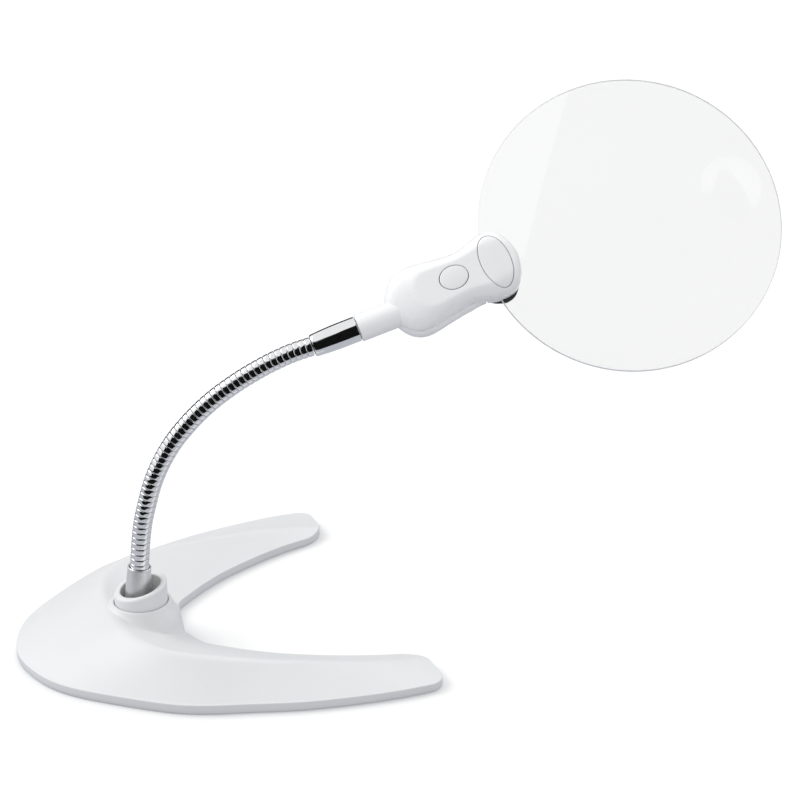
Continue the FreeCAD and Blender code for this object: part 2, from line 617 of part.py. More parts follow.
def lens_solid(extra):
    """Biconvex disc in the lens frame, grown by extra for the slot that holds it."""
    a, edge, curve = v("lens_radius") + extra, v("lens_edge") / 2 + extra, v("lens_curve")
    sag = curve - math.sqrt(curve * curve - a * a)
    p = [Vector(0, 0, -edge - sag), Vector(a, 0, -edge), Vector(a, 0, edge), Vector(0, 0, edge + sag)]
    mid = a / 2
    ms = curve - math.sqrt(curve * curve - mid * mid)
    edges = [Part.Arc(p[0], Vector(mid, 0, -edge - sag + ms), p[1]).toShape(), Part.LineSegment(p[1], p[2]).toShape(),
             Part.Arc(p[2], Vector(mid, 0, edge + sag - ms), p[3]).toShape(), Part.LineSegment(p[3], p[0]).toShape()]
    return Part.Face(Part.Wire(edges)).revolve(Vector(0, 0, 0), Vector(0, 0, 1), 360)


def to_head(shape):
    """A shape given in the lens frame, seen from the head frame."""
    s = shape.copy()
    s.Placement = HEAD_FRAME.inverse().multiply(LENS_FRAME).multiply(s.Placement)
    return s


def oval(long, wide, low, high, x, y):
    if long >= wide:
        e = Part.Ellipse(Vector(0, 0, 0), long / 2, wide / 2)
        turn = 0
    else:
        e = Part.Ellipse(Vector(0, 0, 0), wide / 2, long / 2)
        turn = 90
    face = Part.Face(Part.Wire(e.toShape()))
    face.rotate(Vector(0, 0, 0), Vector(0, 0, 1), turn)
    face.translate(Vector(x, y, low))
    return face.extrude(Vector(0, 0, high - low))


BX, BY = -80.5, 0.9        # button centre in the head frame
OX, OY = -61.5, 0.4        # cover plate centre
whole = head_loft(0)
hollow = head_loft(v("shell_wall"))
hollow = hollow.common(Part.makeBox(36.0, 40, 30, Vector(-106.5, -20, -12)))
slot = to_head(lens_solid(0.15))
stem_axis = HEAD_FRAME.inverse().multiply(on_stem(-118))
stem_cut = Part.makeCylinder(v("stem_radius") + 0.1, 17.0)
stem_cut = stem_cut.fuse(Part.makeCylinder(v("stem_radius") - 1.0, 30.0))
stem_cut.Placement = stem_axis
stem_pocket = Part.makeCylinder(v("stem_radius") + 0.1, 2.9)
stem_pocket.Placement = HEAD_FRAME.inverse().multiply(on_stem(STEM_START + 20.4))
top_zone = Part.makeBox(80, 60, 40, Vector(-115, -30, 0.05)).cut(Part.makeBox(30, 60, 1.0, Vector(-70.0, -30, 0.0)))
low_zone = Part.makeBox(115 - 70.15, 60, 40, Vector(-115, -30, -40.05))
black_zone = Part.makeBox(30, 60, 40.9, Vector(-70.0, -30, -40))

upper = whole.common(top_zone).cut(hollow).cut(slot).cut(stem_cut).cut(stem_pocket)
upper = upper.cut(oval(v("button_long") + 2 * v("button_gap"), v("button_wide") + 2 * v("button_gap"), 3, 20, BX, BY))
upper = upper.cut(oval(v("plate_long") + 0.5, v("plate_wide") + 0.5, 12.5 - v("plate_deep"), 20, OX, OY))
for y in (8.5, -8.5):
    upper = upper.fuse(Part.makeCylinder(2.2, 12, Vector(-90, y, 0.05)).common(whole).common(top_zone))
    upper = upper.cut(Part.makeCylinder(v("screw_shank") + 0.05, 6.0, Vector(-90, y, -1)))
up = feature("head_upper_shape", upper)
up.Placement = HEAD_FRAME
keep(up, "head_upper_shell")

lower = whole.common(low_zone).cut(hollow).cut(slot).cut(stem_cut).cut(stem_pocket)
for y in (8.5, -8.5):
    lower = lower.fuse(Part.makeCylinder(2.8, 6, Vector(-90, y, -6.05)).common(whole).common(low_zone))
    lower = lower.cut(Part.makeCylinder(v("screw_shank") + 0.2, 12, Vector(-90, y, -8)))
    lower = lower.cut(Part.makeCylinder(v("screw_head") + 0.15, 7.35, Vector(-90, y, -9.9)))
lo = feature("head_lower_shape", lower)
lo.Placement = HEAD_FRAME
keep(lo, "head_lower_shell")

black = whole.common(black_zone).cut(slot)
black = black.cut(Part.makeBox(2.4, 60, 12, Vector(-70.0, -30, -12)).common(Part.makeCylinder(0.01, 1)))
for y in (6.0, -6.0):
    black = black.cut(Part.makeCylinder(2.6, 3.2, Vector(-59.5, y, -7.0 + 0.2)))
bl = feature("led_housing_shape", black)
bl.Placement = HEAD_FRAME
keep(bl, "led_housing")

head_screw_list = [screw("head_screw_%d" % k, in_head(-90, y, -3.8), 5.2, 1.2) for k, y in enumerate((8.5, -8.5))]
keep(group("head_screws_group", *head_screw_list), "head_screws")

led_list, window_list = [], []
for k, y in enumerate((6.0, -6.0)):
    led_list.append(cylinder("led_%d" % k, 1.5, 0.7, in_head(-59.5, y, -4.4)))
    window_list.append(cylinder("led_window_%d" % k, 2.45, 0.5, in_head(-59.5, y, -5.0)))
keep(group("led_group", *led_list), "leds")
keep(group("led_window_group", *window_list), "led_windows")

board = block("board", 16.0, 17.0, 1.0, in_head(-92.5 + 5.5, -8.5 + 0.6, 4.4))
board_h1 = cylinder("board_h1", 2.5, 5.0, in_head(-90, 8.5, 2))
board_h2 = cylinder("board_h2", 2.5, 5.0, in_head(-90, -8.5, 2))
keep(cut("circuit_board_cut", board, board_h1, board_h2), "circuit_board")
sw_body = block("switch_body", 6.0, 6.0, 2.6, in_head(BX - 3, BY - 3, 5.45))
sw_stem = cylinder("switch_stem", 1.5, 0.7, in_head(BX, BY, 8.0))
keep(fuse("tactile_switch_fuse", sw_body, sw_stem), "tactile_switch")

cover_plate = feature("cover_plate_shape", oval(v("plate_long"), v("plate_wide"), 12.5 - v("plate_deep") + 0.05, 12.72, OX, OY))
cover_plate.Placement = HEAD_FRAME
keep(cover_plate, "head_cover_plate")

# Power button: crowned oval cap on a post, standing over the tactile switch.
cap = oval(v("button_long"), v("button_wide"), 10.2, 12.95, BX, BY)
cap = cap.fuse(Part.makeCylinder(1.4, 1.3, Vector(BX, BY, 9.35)))
bt = feature("power_button_shape", cap)
bt.Placement = HEAD_FRAME
keep(bt, "power_button")

# Lens with its small strong lens moulded on the upper face.
lens = lens_solid(0)
a, rise = v("spot_radius"), v("spot_rise")
ball_r = (a * a + rise * rise) / (2 * rise)
rr = math.hypot(v("spot_along"), v("spot_across"))
curve = v("lens_curve")
sag = curve - math.sqrt(curve * curve - v("lens_radius") ** 2)
surface_z = v("lens_edge") / 2 + sag - (curve - math.sqrt(curve * curve - rr * rr))
seat = Vector(v("spot_along"), v("spot_across"), surface_z)
normal = Vector(seat.x / curve, seat.y / curve, math.sqrt(1 - (rr / curve) ** 2))
ball = Part.makeSphere(ball_r, seat + normal * (rise - ball_r))
half_space = Part.makeCylinder(a + 2, 20, seat - normal * 1.2, normal)
lens = lens.fuse(ball.common(half_space)).removeSplitter()
ln = feature("lens_shape", lens)
ln.Placement = LENS_FRAME
keep(ln, "main_lens")

# ----------------------------------------------------------------------------- check and write
doc.recompute()
bad = [o.Label for o in doc.Objects if "Invalid" in o.State or "Error" in o.State]
if bad:
    raise SystemExit("failed features: %s" % bad)
for label, obj in NODES.items():
    shape = obj.Shape
    if shape.isNull() or not shape.isValid() or not shape.Solids:
        raise SystemExit("bad shape: %s" % label)
os.makedirs("parts", exist_ok=True)
for old in os.listdir("parts"):
    if old.endswith(".step"):
        os.remove(os.path.join("parts", old))
for label, obj in NODES.items():
    shape = obj.Shape
    shape.exportStep("parts/%s.step" % label)
    print("%-22s solids %d volume %9.1f" % (label, len(shape.Solids), shape.Volume))
print("neck length", round(NECK_LENGTH, 2), "nodes", len(NODES))
for i in range(1, LINKS):
    p, t = neck_at(FIRST + PITCH * (PER_LINK * i - 0.5))
    print("hinge", i, [round(q, 4) for q in p], [round(q, 5) for q in t])
for name, q in (("mouth", MOUTH), ("ferrule_dir", FERRULE_DIR), ("stem_zero", STEM_ZERO), ("h", H_DIR), ("n", N_DIR), ("w", W_DIR), ("side", SIDE)):
    print(name, [round(k, 5) for k in q])
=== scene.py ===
import bmesh
import bpy
import math
import numpy as np
from mathutils import Matrix, Vector, kdtree
from mathutils.geometry import delaunay_2d_cdt


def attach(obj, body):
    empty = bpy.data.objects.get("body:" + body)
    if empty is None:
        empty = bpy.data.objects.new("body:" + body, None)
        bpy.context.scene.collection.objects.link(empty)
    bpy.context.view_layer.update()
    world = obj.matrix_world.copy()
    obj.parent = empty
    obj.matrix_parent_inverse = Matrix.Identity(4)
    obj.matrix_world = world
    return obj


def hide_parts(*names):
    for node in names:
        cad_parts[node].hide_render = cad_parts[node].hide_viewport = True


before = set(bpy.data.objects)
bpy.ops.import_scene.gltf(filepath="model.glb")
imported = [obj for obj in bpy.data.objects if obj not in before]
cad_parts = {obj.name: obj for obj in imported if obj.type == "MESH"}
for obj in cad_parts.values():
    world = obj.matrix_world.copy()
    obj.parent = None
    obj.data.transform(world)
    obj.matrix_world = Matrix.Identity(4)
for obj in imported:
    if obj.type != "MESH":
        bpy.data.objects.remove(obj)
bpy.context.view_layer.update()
MM = 0.001


# ------------------------------------------------------------------ materials
def nodes_of(name):
    m = bpy.data.materials.new(name)
    m.use_nodes = True
    nt = m.node_tree
    return m, nt, nt.nodes["Principled BSDF"]


def put(p, **values):
    names = {"rough": "Roughness", "metal": "Metallic", "ior": "IOR", "coat": "Coat Weight",
             "coat_rough": "Coat Roughness", "spec": "Specular IOR Level", "trans": "Transmission Weight",
             "aniso": "Anisotropic", "sss": "Subsurface Weight"}
    for k, val in values.items():
        p.inputs[names[k]].default_value = val


def noise(nt, scale, detail=3.0, rough=0.55, stretch=None):
    coord = nt.nodes.new("ShaderNodeTexCoord")
    src = coord.outputs["Object"]
    if stretch:
        mp = nt.nodes.new("ShaderNodeMapping")
        mp.inputs["Scale"].default_value = stretch
        nt.links.new(src, mp.inputs["Vector"])
        src = mp.outputs["Vector"]
    n = nt.nodes.new("ShaderNodeTexNoise")
    n.inputs["Scale"].default_value = scale
    n.inputs["Detail"].default_value = detail
    n.inputs["Roughness"].default_value = rough
    nt.links.new(src, n.inputs["Vector"])
    return n.outputs["Fac"]


def ramp(nt, fac, a, b, lo=0.3, hi=0.7):
    r = nt.nodes.new("ShaderNodeValToRGB")
    r.color_ramp.elements[0].position, r.color_ramp.elements[1].position = lo, hi
    r.color_ramp.elements[0].color = tuple(a) + (1,)
    r.color_ramp.elements[1].color = tuple(b) + (1,)
    nt.links.new(fac, r.inputs["Fac"])
    return r.outputs["Color"]


def spread(nt, fac, lo, hi):
    m = nt.nodes.new("ShaderNodeMapRange")
    m.inputs["From Min"].default_value, m.inputs["From Max"].default_value = 0.3, 0.7
    m.inputs["To Min"].default_value, m.inputs["To Max"].default_value = lo, hi
    nt.links.new(fac, m.inputs["Value"])
    return m.outputs["Result"]


def bump(nt, p, fac, strength, distance):
    b = nt.nodes.new("ShaderNodeBump")
    b.inputs["Strength"].default_value = strength
    b.inputs["Distance"].default_value = distance
    nt.links.new(fac, b.inputs["Height"])
    nt.links.new(b.outputs["Normal"], p.inputs["Normal"])


def surface(name, dark, light, rough, patch=60.0, grain=2600.0, grain_depth=0.000012, strength=0.35, stretch=None, **values):
    """Moulded or metal finish: slow colour drift, a little roughness drift and a fine surface grain."""
    m, nt, p = nodes_of(name)
    put(p, **values)
    nt.links.new(ramp(nt, noise(nt, patch), dark, light), p.inputs["Base Color"])
    nt.links.new(spread(nt, noise(nt, patch * 3.1, 4.0), rough[0], rough[1]), p.inputs["Roughness"])
    bump(nt, p, noise(nt, grain, 2.0, 0.6, stretch), strength, grain_depth)
    return m


SHELL = surface("white_shell_abs", (0.712, 0.719, 0.729), (0.728, 0.734, 0.742), (0.36, 0.44), patch=35.0, grain=1900.0,
                grain_depth=0.00003, strength=0.5, spec=0.45)
HEADW = surface("white_head_abs", (0.898, 0.901, 0.904), (0.910, 0.912, 0.915), (0.24, 0.31), patch=45.0, grain=3000.0,
                grain_depth=0.000010, strength=0.35, spec=0.5)
INLAY = surface("white_inlay_abs", (0.872, 0.874, 0.875), (0.886, 0.888, 0.889), (0.30, 0.38), patch=80.0, grain=3600.0,
                grain_depth=0.000012, strength=0.35)
CAVITY = surface("collar_bore_grey", (0.47, 0.47, 0.47), (0.52, 0.52, 0.52), (0.45, 0.6), patch=150.0)
GREY = surface("grey_plastic_abs", (0.26, 0.265, 0.27), (0.31, 0.315, 0.32), (0.5, 0.62), patch=120.0)
BLACK = surface("black_clamp_abs", (0.012, 0.012, 0.013), (0.020, 0.020, 0.021), (0.22, 0.34), patch=150.0, grain=3000.0)
RUBBER = surface("rubber_foot", (0.035, 0.035, 0.036), (0.055, 0.055, 0.056), (0.75, 0.9), patch=300.0, grain=2500.0,
                 grain_depth=0.00005)
STEEL = surface("plain_steel", (0.42, 0.42, 0.43), (0.52, 0.52, 0.53), (0.38, 0.52), patch=110.0, metal=1.0)
SCREW = surface("screw_steel_zinc", (0.55, 0.56, 0.58), (0.66, 0.67, 0.69), (0.24, 0.36), patch=400.0, metal=1.0)
CELL = surface("cell_can_steel", (0.60, 0.60, 0.60), (0.68, 0.68, 0.68), (0.22, 0.32), patch=220.0, metal=1.0)
CONTACT = surface("contact_nickel", (0.66, 0.62, 0.52), (0.74, 0.70, 0.60), (0.2, 0.32), patch=300.0, metal=1.0)
SATIN = surface("satin_nickel", (0.80, 0.80, 0.805), (0.84, 0.84, 0.845), (0.38, 0.42), patch=300.0, grain=1400.0,
                grain_depth=0.000010, strength=0.4, stretch=(1, 1, 0.06), metal=1.0)
CHROME = surface("chrome_plate", (0.86, 0.865, 0.875), (0.90, 0.905, 0.91), (0.035, 0.075), patch=180.0, grain=900.0,
                 grain_depth=0.000002, strength=0.25, metal=1.0)
# Core tube seen in the grooves between neck rings: steel, with its dark tone as painted shade for the shaded grooves.
NECK_CORE_SHADE = surface("neck_seam_steel", (0.16, 0.16, 0.165), (0.24, 0.24, 0.245), (0.35, 0.5), patch=500.0, metal=1.0)
BOARD = surface("board_laminate", (0.02, 0.11, 0.05), (0.03, 0.15, 0.07), (0.35, 0.5), patch=200.0, grain=1500.0)
LED = surface("led_epoxy", (0.80, 0.78, 0.58), (0.86, 0.84, 0.66), (0.15, 0.25), patch=400.0)
WINDOW = surface("led_window_clear", (0.78, 0.80, 0.82), (0.86, 0.88, 0.89), (0.08, 0.16), patch=400.0, trans=0.85, ior=1.49)
LENS = surface("lens_acrylic_clear", (0.852, 0.851, 0.850), (0.860, 0.859, 0.858), (0.0, 0.008), patch=14.0, grain=60.0,
               grain_depth=0.0000004, strength=0.06, trans=1.0, ior=1.49)

EDGE_ACRYLIC = surface("lens_edge_acrylic", (0.90, 0.91, 0.91), (0.95, 0.955, 0.955), (0.28, 0.40), patch=60.0, grain=1500.0,
                       trans=0.35, ior=1.49)

FINISH = {"white_shell": SHELL, "white_inlay": INLAY, "grey_plastic": GREY, "black_plastic": BLACK, "rubber": RUBBER,
          "steel_plain": STEEL, "screw_steel": SCREW, "cell_steel": CELL, "contact_metal": CONTACT, "satin_metal": SATIN,
          "chrome": CHROME, "board": BOARD, "led_lens": WINDOW, "lens_acrylic": LENS}
NODE_FINISH = {"base_bottom_plate": GREY, "base_weight": STEEL, "base_feet": RUBBER, "base_screws": SCREW, "battery_tray": GREY,
               "battery_cells": CELL, "battery_contacts": CONTACT, "battery_door": GREY, "battery_door_screw": SCREW,
               "collar_screws": SCREW, "swivel_washer": STEEL, "swivel_nut": SCREW, "led_windows": WINDOW, "leds": LED,
               "head_screws": SCREW, "circuit_board": BOARD, "tactile_switch": BLACK}
for name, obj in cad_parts.items():
    obj.data.materials.clear()
    obj.data.materials.append(NODE_FINISH.get(name, SHELL))

# ------------------------------------------------------------------ reference lines, as in the CAD (millimetres)
YAW = math.radians(-8.5)
E = np.array([math.cos(YAW), math.sin(YAW), 0.0])
SIDE = np.array([-math.sin(YAW), math.cos(YAW), 0.0])
UP = np.array([0.0, 0.0, 1.0])


def unit(a):
    a = np.asarray(a, float)
    return a / np.linalg.norm(a)


LENS_C = np.array([213.88, -31.96, 174.70])
H = unit([0.942856, -0.140911, 0.301938])
N = np.array([-0.297366, -0.764662, 0.571721])
N = unit(N - H * (N @ H))
W = np.cross(N, H)
STEM_ZERO = LENS_C - 0.92 * W + 3.75 * N
TURN = math.radians(2.15)
HX = H * math.cos(TURN) + W * math.sin(TURN)
HY = np.cross(N, HX)
HEAD_O = LENS_C - 100.0 * H + 1.0 * W + 100.0 * HX
LEAN = math.radians(5.7)
FDIR = unit(E * math.sin(LEAN) + UP * math.cos(LEAN))
MOUTH = E * 0.13 + UP * 36.0
LINE = [(0.13, 36.0), (0.9, 43.8), (1.7, 50.9), (2.9, 57.9), (4.6, 64.6), (6.5, 71.3), (8.8, 77.7),
        (11.7, 83.8), (15.0, 89.5), (18.8, 94.8), (23.0, 99.6), (27.4, 104.1), (32.0, 108.2), (36.9, 112.0),
        (42.0, 115.4), (47.2, 118.6), (52.6, 121.5), (58.1, 124.2), (63.9, 126.6), (69.8, 128.7)]
TIP_ALONG = -145.65
PITCH, FIRST, LINKS, PER = 2.57, 0.6, 13, 4


def cubic(t, y, q, d0=None, d1=None):
    """Cubic spline through (t, y) read at q, natural or with given end slopes; y may have several columns."""
    t, y, q = np.asarray(t, float), np.asarray(y, float), np.asarray(q, float)
    flat = y.ndim == 1
    if flat:
        y = y[:, None]
    n = len(t)
    h = np.diff(t)
    a = np.zeros((n, n))
    b = np.zeros((n, y.shape[1]))
    for i in range(1, n - 1):
        a[i, i - 1], a[i, i], a[i, i + 1] = h[i - 1], 2 * (h[i - 1] + h[i]), h[i]
        b[i] = 6 * ((y[i + 1] - y[i]) / h[i] - (y[i] - y[i - 1]) / h[i - 1])
    a[0, 0] = a[-1, -1] = 1.0
    if d0 is not None:
        a[0, 0], a[0, 1] = 2 * h[0], h[0]
        b[0] = 6 * ((y[1] - y[0]) / h[0] - np.asarray(d0))
    if d1 is not None:
        a[-1, -1], a[-1, -2] = 2 * h[-1], h[-1]
        b[-1] = 6 * (np.asarray(d1) - (y[-1] - y[-2]) / h[-1])
    m = np.linalg.solve(a, b)
    k = np.clip(np.searchsorted(t, q) - 1, 0, n - 2)
    hk, u, w = h[k][:, None], (t[k + 1] - q)[:, None], (q - t[k])[:, None]
    out = (m[k] * u ** 3 + m[k + 1] * w ** 3) / (6 * hk) + (y[k] / hk - m[k] * hk / 6) * u + (y[k + 1] / hk - m[k + 1] * hk / 6) * w
    return out[:, 0] if flat else out


neck_pts = []
for k, (a, z) in enumerate(LINE):
    t = k / float(len(LINE))
    neck_pts.append(E * a + UP * z + (STEM_ZERO - LENS_C) * (t * t * (3 - 2 * t)))
neck_pts.append(STEM_ZERO + H * TIP_ALONG)
neck_pts = np.array(neck_pts)
neck_t = np.concatenate([[0], np.cumsum(np.linalg.norm(np.diff(neck_pts, axis=0), axis=1))])
fine_t = np.linspace(0, neck_t[-1], 2000)
fine_p = cubic(neck_t, neck_pts, fine_t, FDIR, H)
fine_s = np.concatenate([[0], np.cumsum(np.linalg.norm(np.diff(fine_p, axis=0), axis=1))])
NECK_LEN = fine_s[-1]


def neck_at(s):
    if s <= 0:
        return MOUTH + FDIR * s, FDIR
    if s >= NECK_LEN:
        return neck_pts[-1] + H * (s - NECK_LEN), H
    p = np.array([np.interp(s, fine_s, fine_p[:, c]) for c in range(3)])
    q = np.array([np.interp(min(s + 0.05, NECK_LEN), fine_s, fine_p[:, c]) for c in range(3)])
    r = np.array([np.interp(max(s - 0.05, 0), fine_s, fine_p[:, c]) for c in range(3)])
    return p, unit(q - r)


# ------------------------------------------------------------------ mesh helpers
class Shape:
    """Vertices in millimetres with faces that each name a material."""

    def __init__(self):
        self.v, self.f, self.m = [], [], []

    def add(self, verts, faces, mat=0):
        base = len(self.v)
        self.v.extend([tuple(map(float, p)) for p in verts])
        self.f.extend([tuple(base + i for i in f) for f in faces])
        self.m.extend([mat] * len(faces))

    def lathe(self, prof, origin, axis, xdir, seg=72, mat=0, mats=None, loop=False):
        z = unit(axis)
        x = unit(np.asarray(xdir, float) - z * (z @ np.asarray(xdir, float)))
        y = np.cross(z, x)
        ang = np.linspace(0, 2 * math.pi, seg, endpoint=False)
        ring = np.outer(np.cos(ang), x) + np.outer(np.sin(ang), y)
        verts, faces, fm = [], [], []
        for r, h in prof:
            verts.extend(np.asarray(origin) + z * h + ring * r)
        n = len(prof)
        for i in range(n if loop else n - 1):
            j = (i + 1) % n
            for k in range(seg):
                l = (k + 1) % seg
                faces.append((i * seg + k, i * seg + l, j * seg + l, j * seg + k))
                fm.append(mats[i] if mats else mat)
        base = len(self.v)
        self.v.extend([tuple(map(float, p)) for p in verts])
        self.f.extend([tuple(base + i for i in f) for f in faces])
        self.m.extend(fm)

    def make(self, name, body, mats, nodes=(), sharp=38.0, flip=False):
        me = bpy.data.meshes.new(name)
        me.from_pydata([tuple(c * MM for c in p) for p in self.v], [], self.f)
        for m in mats:
            me.materials.append(m)
        me.polygons.foreach_set("material_index", self.m)
        bm = bmesh.new()
        bm.from_mesh(me)
        bmesh.ops.remove_doubles(bm, verts=bm.verts, dist=2e-6)
        bmesh.ops.dissolve_degenerate(bm, edges=bm.edges, dist=1e-7)
        bmesh.ops.recalc_face_normals(bm, faces=bm.faces)
        if flip:
            bmesh.ops.reverse_faces(bm, faces=bm.faces)
        bm.to_mesh(me)
        bm.free()
        me.shade_smooth()
        me.set_sharp_from_angle(angle=math.radians(sharp))
        o = bpy.data.objects.new(name, me)
        bpy.context.scene.collection.objects.link(o)
        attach(o, body)
        if nodes:
            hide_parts(*nodes)
        return o


def rounded(points, steps=4):
    """(r, z, fillet) corners as a polyline with rounded corners."""
    out = []
    n = len(points)
    for i, (r, z, f) in enumerate(points):
        p = np.array([r, z], float)
        if f <= 0 or i in (0, n - 1):
            out.append((r, z))
            continue
        a, b = np.array(points[i - 1][:2], float), np.array(points[i + 1][:2], float)
        u, w = unit(a - p), unit(b - p)
        cosg = float(np.clip(u @ w, -1, 1))
        half = math.acos(cosg) / 2
        if abs(half - math.pi / 2) < 1e-3:
            out.append((r, z))
            continue
        run = min(f / math.tan(half), np.linalg.norm(a - p) * 0.49, np.linalg.norm(b - p) * 0.49)
        rad = run * math.tan(half)
        centre = p + unit(u + w) * (rad / math.sin(half))
        s, e = p + u * run - centre, p + w * run - centre
        a0, a1 = math.atan2(s[1], s[0]), math.atan2(e[1], e[0])
        turn = (a1 - a0 + math.pi) % (2 * math.pi) - math.pi
        for k in range(steps + 1):
            g = a0 + turn * k / steps
            out.append((centre[0] + rad * math.cos(g), centre[1] + rad * math.sin(g)))
    return out


def softmin(a, b, k):
    h = np.maximum(k - np.abs(a - b), 0) / k
    return np.minimum(a, b) - h * h * k / 4


def softmax(a, b, k):
    return -softmin(-a, -b, k)


def fill(loop_pts, ring_pts, keep):
    """Triangles between a ragged outer loop and an inner ring, both given as (x, y) lists."""
    pts = [Vector(p) for p in loop_pts] + [Vector(p) for p in ring_pts]
    n, m = len(loop_pts), len(ring_pts)
    edges = [(i, (i + 1) % n) for i in range(n)] + [(n + i, n + (i + 1) % m) for i in range(m)]
    vs, _, fs, origin, _, _ = delaunay_2d_cdt(pts, edges, [], 0, 1e-7)
    out = []
    for f in fs:
        c = sum((vs[i] for i in f), Vector((0, 0))) / len(f)
        if keep(c.x, c.y):
            out.append([origin[i][0] if origin[i] else None for i in f])
    lost = sum(1 for f in out if None in f)
    if lost:
        print("fill lost", lost)
    return [f for f in out if None not in f]


def hole_loop(quads, removed):
    """Ordered vertex loop round the removed faces."""
    count = {}
    for f in removed:
        for a, b in zip(f, f[1:] + f[:1]):
            count[(a, b)] = count.get((a, b), 0) + 1
    nxt = {a: b for (a, b) in count if (b, a) not in count}
    start = next(iter(nxt))
    loop = [start]
    while True:
        q = nxt[loop[-1]]
        if q == start:
            return loop
        loop.append(q)


def clean_hole(faces, gone):
    """Takes away more faces until no vertex of the hole's edge is passed twice."""
    gone = list(gone)
    while True:
        gs = set(gone)
        count = {}
        for f in gone:
            for a, b in zip(f, f[1:] + f[:1]):
                count[(a, b)] = 1
        starts = {}
        for a, b in count:
            if (b, a) not in count:
                starts[a] = starts.get(a, 0) + 1
        bad = {a for a, c in starts.items() if c > 1}
        if not bad:
            return [f for f in faces if f not in gs], gone
        gone += [f for f in faces if f not in gs and any(i in bad for i in f)]


def inside(poly, x, y):
    """Even-odd test of a point in a polygon."""
    p = np.asarray(poly)
    x0, y0 = p[:, 0], p[:, 1]
    x1, y1 = np.roll(x0, -1), np.roll(y0, -1)
    cross = (y0 > y) != (y1 > y)
    with np.errstate(divide="ignore", invalid="ignore"):
        xi = x0 + (y - y0) * (x1 - x0) / (y1 - y0)
    return bool(np.sum(cross & (x < xi)) % 2)


# ------------------------------------------------------------------ base cover
OUTER = [(-54.7, 0), (-52.6, 13), (-47.3, 26), (-39.3, 36.6), (-28.3, 46.6), (-15.2, 57.2), (-2, 66.2), (10.5, 71.6),
         (24.6, 76), (44.2, 81.9), (64.5, 85.8), (85.6, 88.2), (99.5, 88.4), (112, 88.4)]
RIDGE = [(-13.8, 0, 18.5), (-13.8, 9, 18.4), (-13.2, 18, 18.2), (-11, 27, 18), (-6.5, 36, 17.7), (0.5, 43.8, 17.3),
         (9, 49.2, 16.7), (18, 53, 15.8), (28, 56.6, 14.7), (42, 60.6, 13.1), (58, 63.9, 11.2), (78, 66.8, 8.6),
         (95, 67.6, 6.3), (112, 68.0, 4.1)]
INNER = [(16, 0), (16.7, 5), (18.3, 10), (20.3, 15.4), (22.9, 20.4), (28.8, 25.6), (35, 30.7), (41, 35), (47.1, 39.1),
         (58.7, 45.3), (70.2, 50.6), (81.6, 55), (92.9, 58.5), (112, 63.6)]
RIM, BOTTOM = 3.9, 0.6


def both(points):
    return np.array([tuple([p[0], -p[1]] + list(p[2:])) for p in reversed(points[1:])] + list(points), float)


so, sr, si = both(OUTER), both(RIDGE), both(INNER)
step = (np.linalg.norm(np.diff(so, axis=0), axis=1) + np.linalg.norm(np.diff(sr[:, :2], axis=0), axis=1)
        + np.linalg.norm(np.diff(si, axis=0), axis=1)) / 3
st = np.concatenate([[0], np.cumsum(step)])
MID = st[len(st) // 2]


def section(t):
    return cubic(st, so, t), cubic(st, sr, t), cubic(st, si, t)


def arm_height(x_out, x_in, rz, d):
    """Height over a section: d is the distance from the ridge, negative towards the outer edge."""
    lo, li = (rz - RIM) / x_out, (rz - RIM) / x_in
    k = (lo + li) * 2.6
    return softmin(rz + lo * d, rz - li * d, k) + k * 0.16


def cone_height(x, y):
    r = np.hypot(x, y)
    slope = softmin(np.full_like(r, 19.8), 8.0 + (19.0 - r) * (19.8 - 8.0) / 6.1, 0.5)
    return softmin(slope, 13.4 - (r - 16.3) * 5.5, 0.8)


def field_grid(ts, us, inset):
    """Points over the horseshoe; us run 0..1 from the outer edge to the ridge and 1..2 on to the inner edge."""
    o, r, i = section(ts)
    p = np.zeros((len(ts), len(us), 3))
    for a in range(len(ts)):
        pr = r[a, :2]
        lo, li = np.linalg.norm(o[a] - pr), np.linalg.norm(i[a] - pr)
        do, di = (o[a] - pr) / lo, (i[a] - pr) / li
        for b, u in enumerate(us):
            if u <= 1:
                d = -(1 - u) * (lo - inset)
                q = pr - do * d
            else:
                d = (u - 1) * (li - inset)
                q = pr + di * d
            p[a, b, :2] = q
            p[a, b, 2] = arm_height(lo, li, r[a, 2], d)
    return p


T_END = st[-1]
dense = field_grid(np.linspace(0, T_END, 420), np.linspace(0, 2, 61), -2.5)
flatp = dense.reshape(-1, 3)
tree = kdtree.KDTree(len(flatp))
for k, q in enumerate(flatp):
    tree.insert((q[0], q[1], 0.0), k)
tree.balance()


def arm_at(x, y):
    idx = [k for (_, k, _) in tree.find_n((x, y, 0.0), 10)]
    q = flatp[idx]
    a = np.c_[q[:, 0] - x, q[:, 1] - y, np.ones(len(q))]
    sol, *_ = np.linalg.lstsq(a, q[:, 2], rcond=None)
    return sol[2]


def cover_height(x, y, arm):
    return softmax(arm, cone_height(np.asarray(x, float), np.asarray(y, float)), 2.0)


def circle3(a, m, b, n):
    """n points on the arc from a through m to b."""
    a, m, b = map(np.asarray, (a, m, b))
    d = 2 * (a[0] * (m[1] - b[1]) + m[0] * (b[1] - a[1]) + b[0] * (a[1] - m[1]))
    ux = ((a @ a) * (m[1] - b[1]) + (m @ m) * (b[1] - a[1]) + (b @ b) * (a[1] - m[1])) / d
    uy = ((a @ a) * (b[0] - m[0]) + (m @ m) * (a[0] - b[0]) + (b @ b) * (m[0] - a[0])) / d
    c = np.array([ux, uy])
    r = np.linalg.norm(a - c)
    g = [math.atan2(*(p - c)[::-1]) for p in (a, m, b)]
    turn = (g[2] - g[0] + math.pi) % (2 * math.pi) - math.pi
    mid = (g[1] - g[0] + math.pi) % (2 * math.pi) - math.pi
    if turn * mid < 0:
        turn -= math.copysign(2 * math.pi, turn)
    return [c + r * np.array([math.cos(g[0] + turn * k / (n - 1)), math.sin(g[0] + turn * k / (n - 1))]) for k in range(n)]


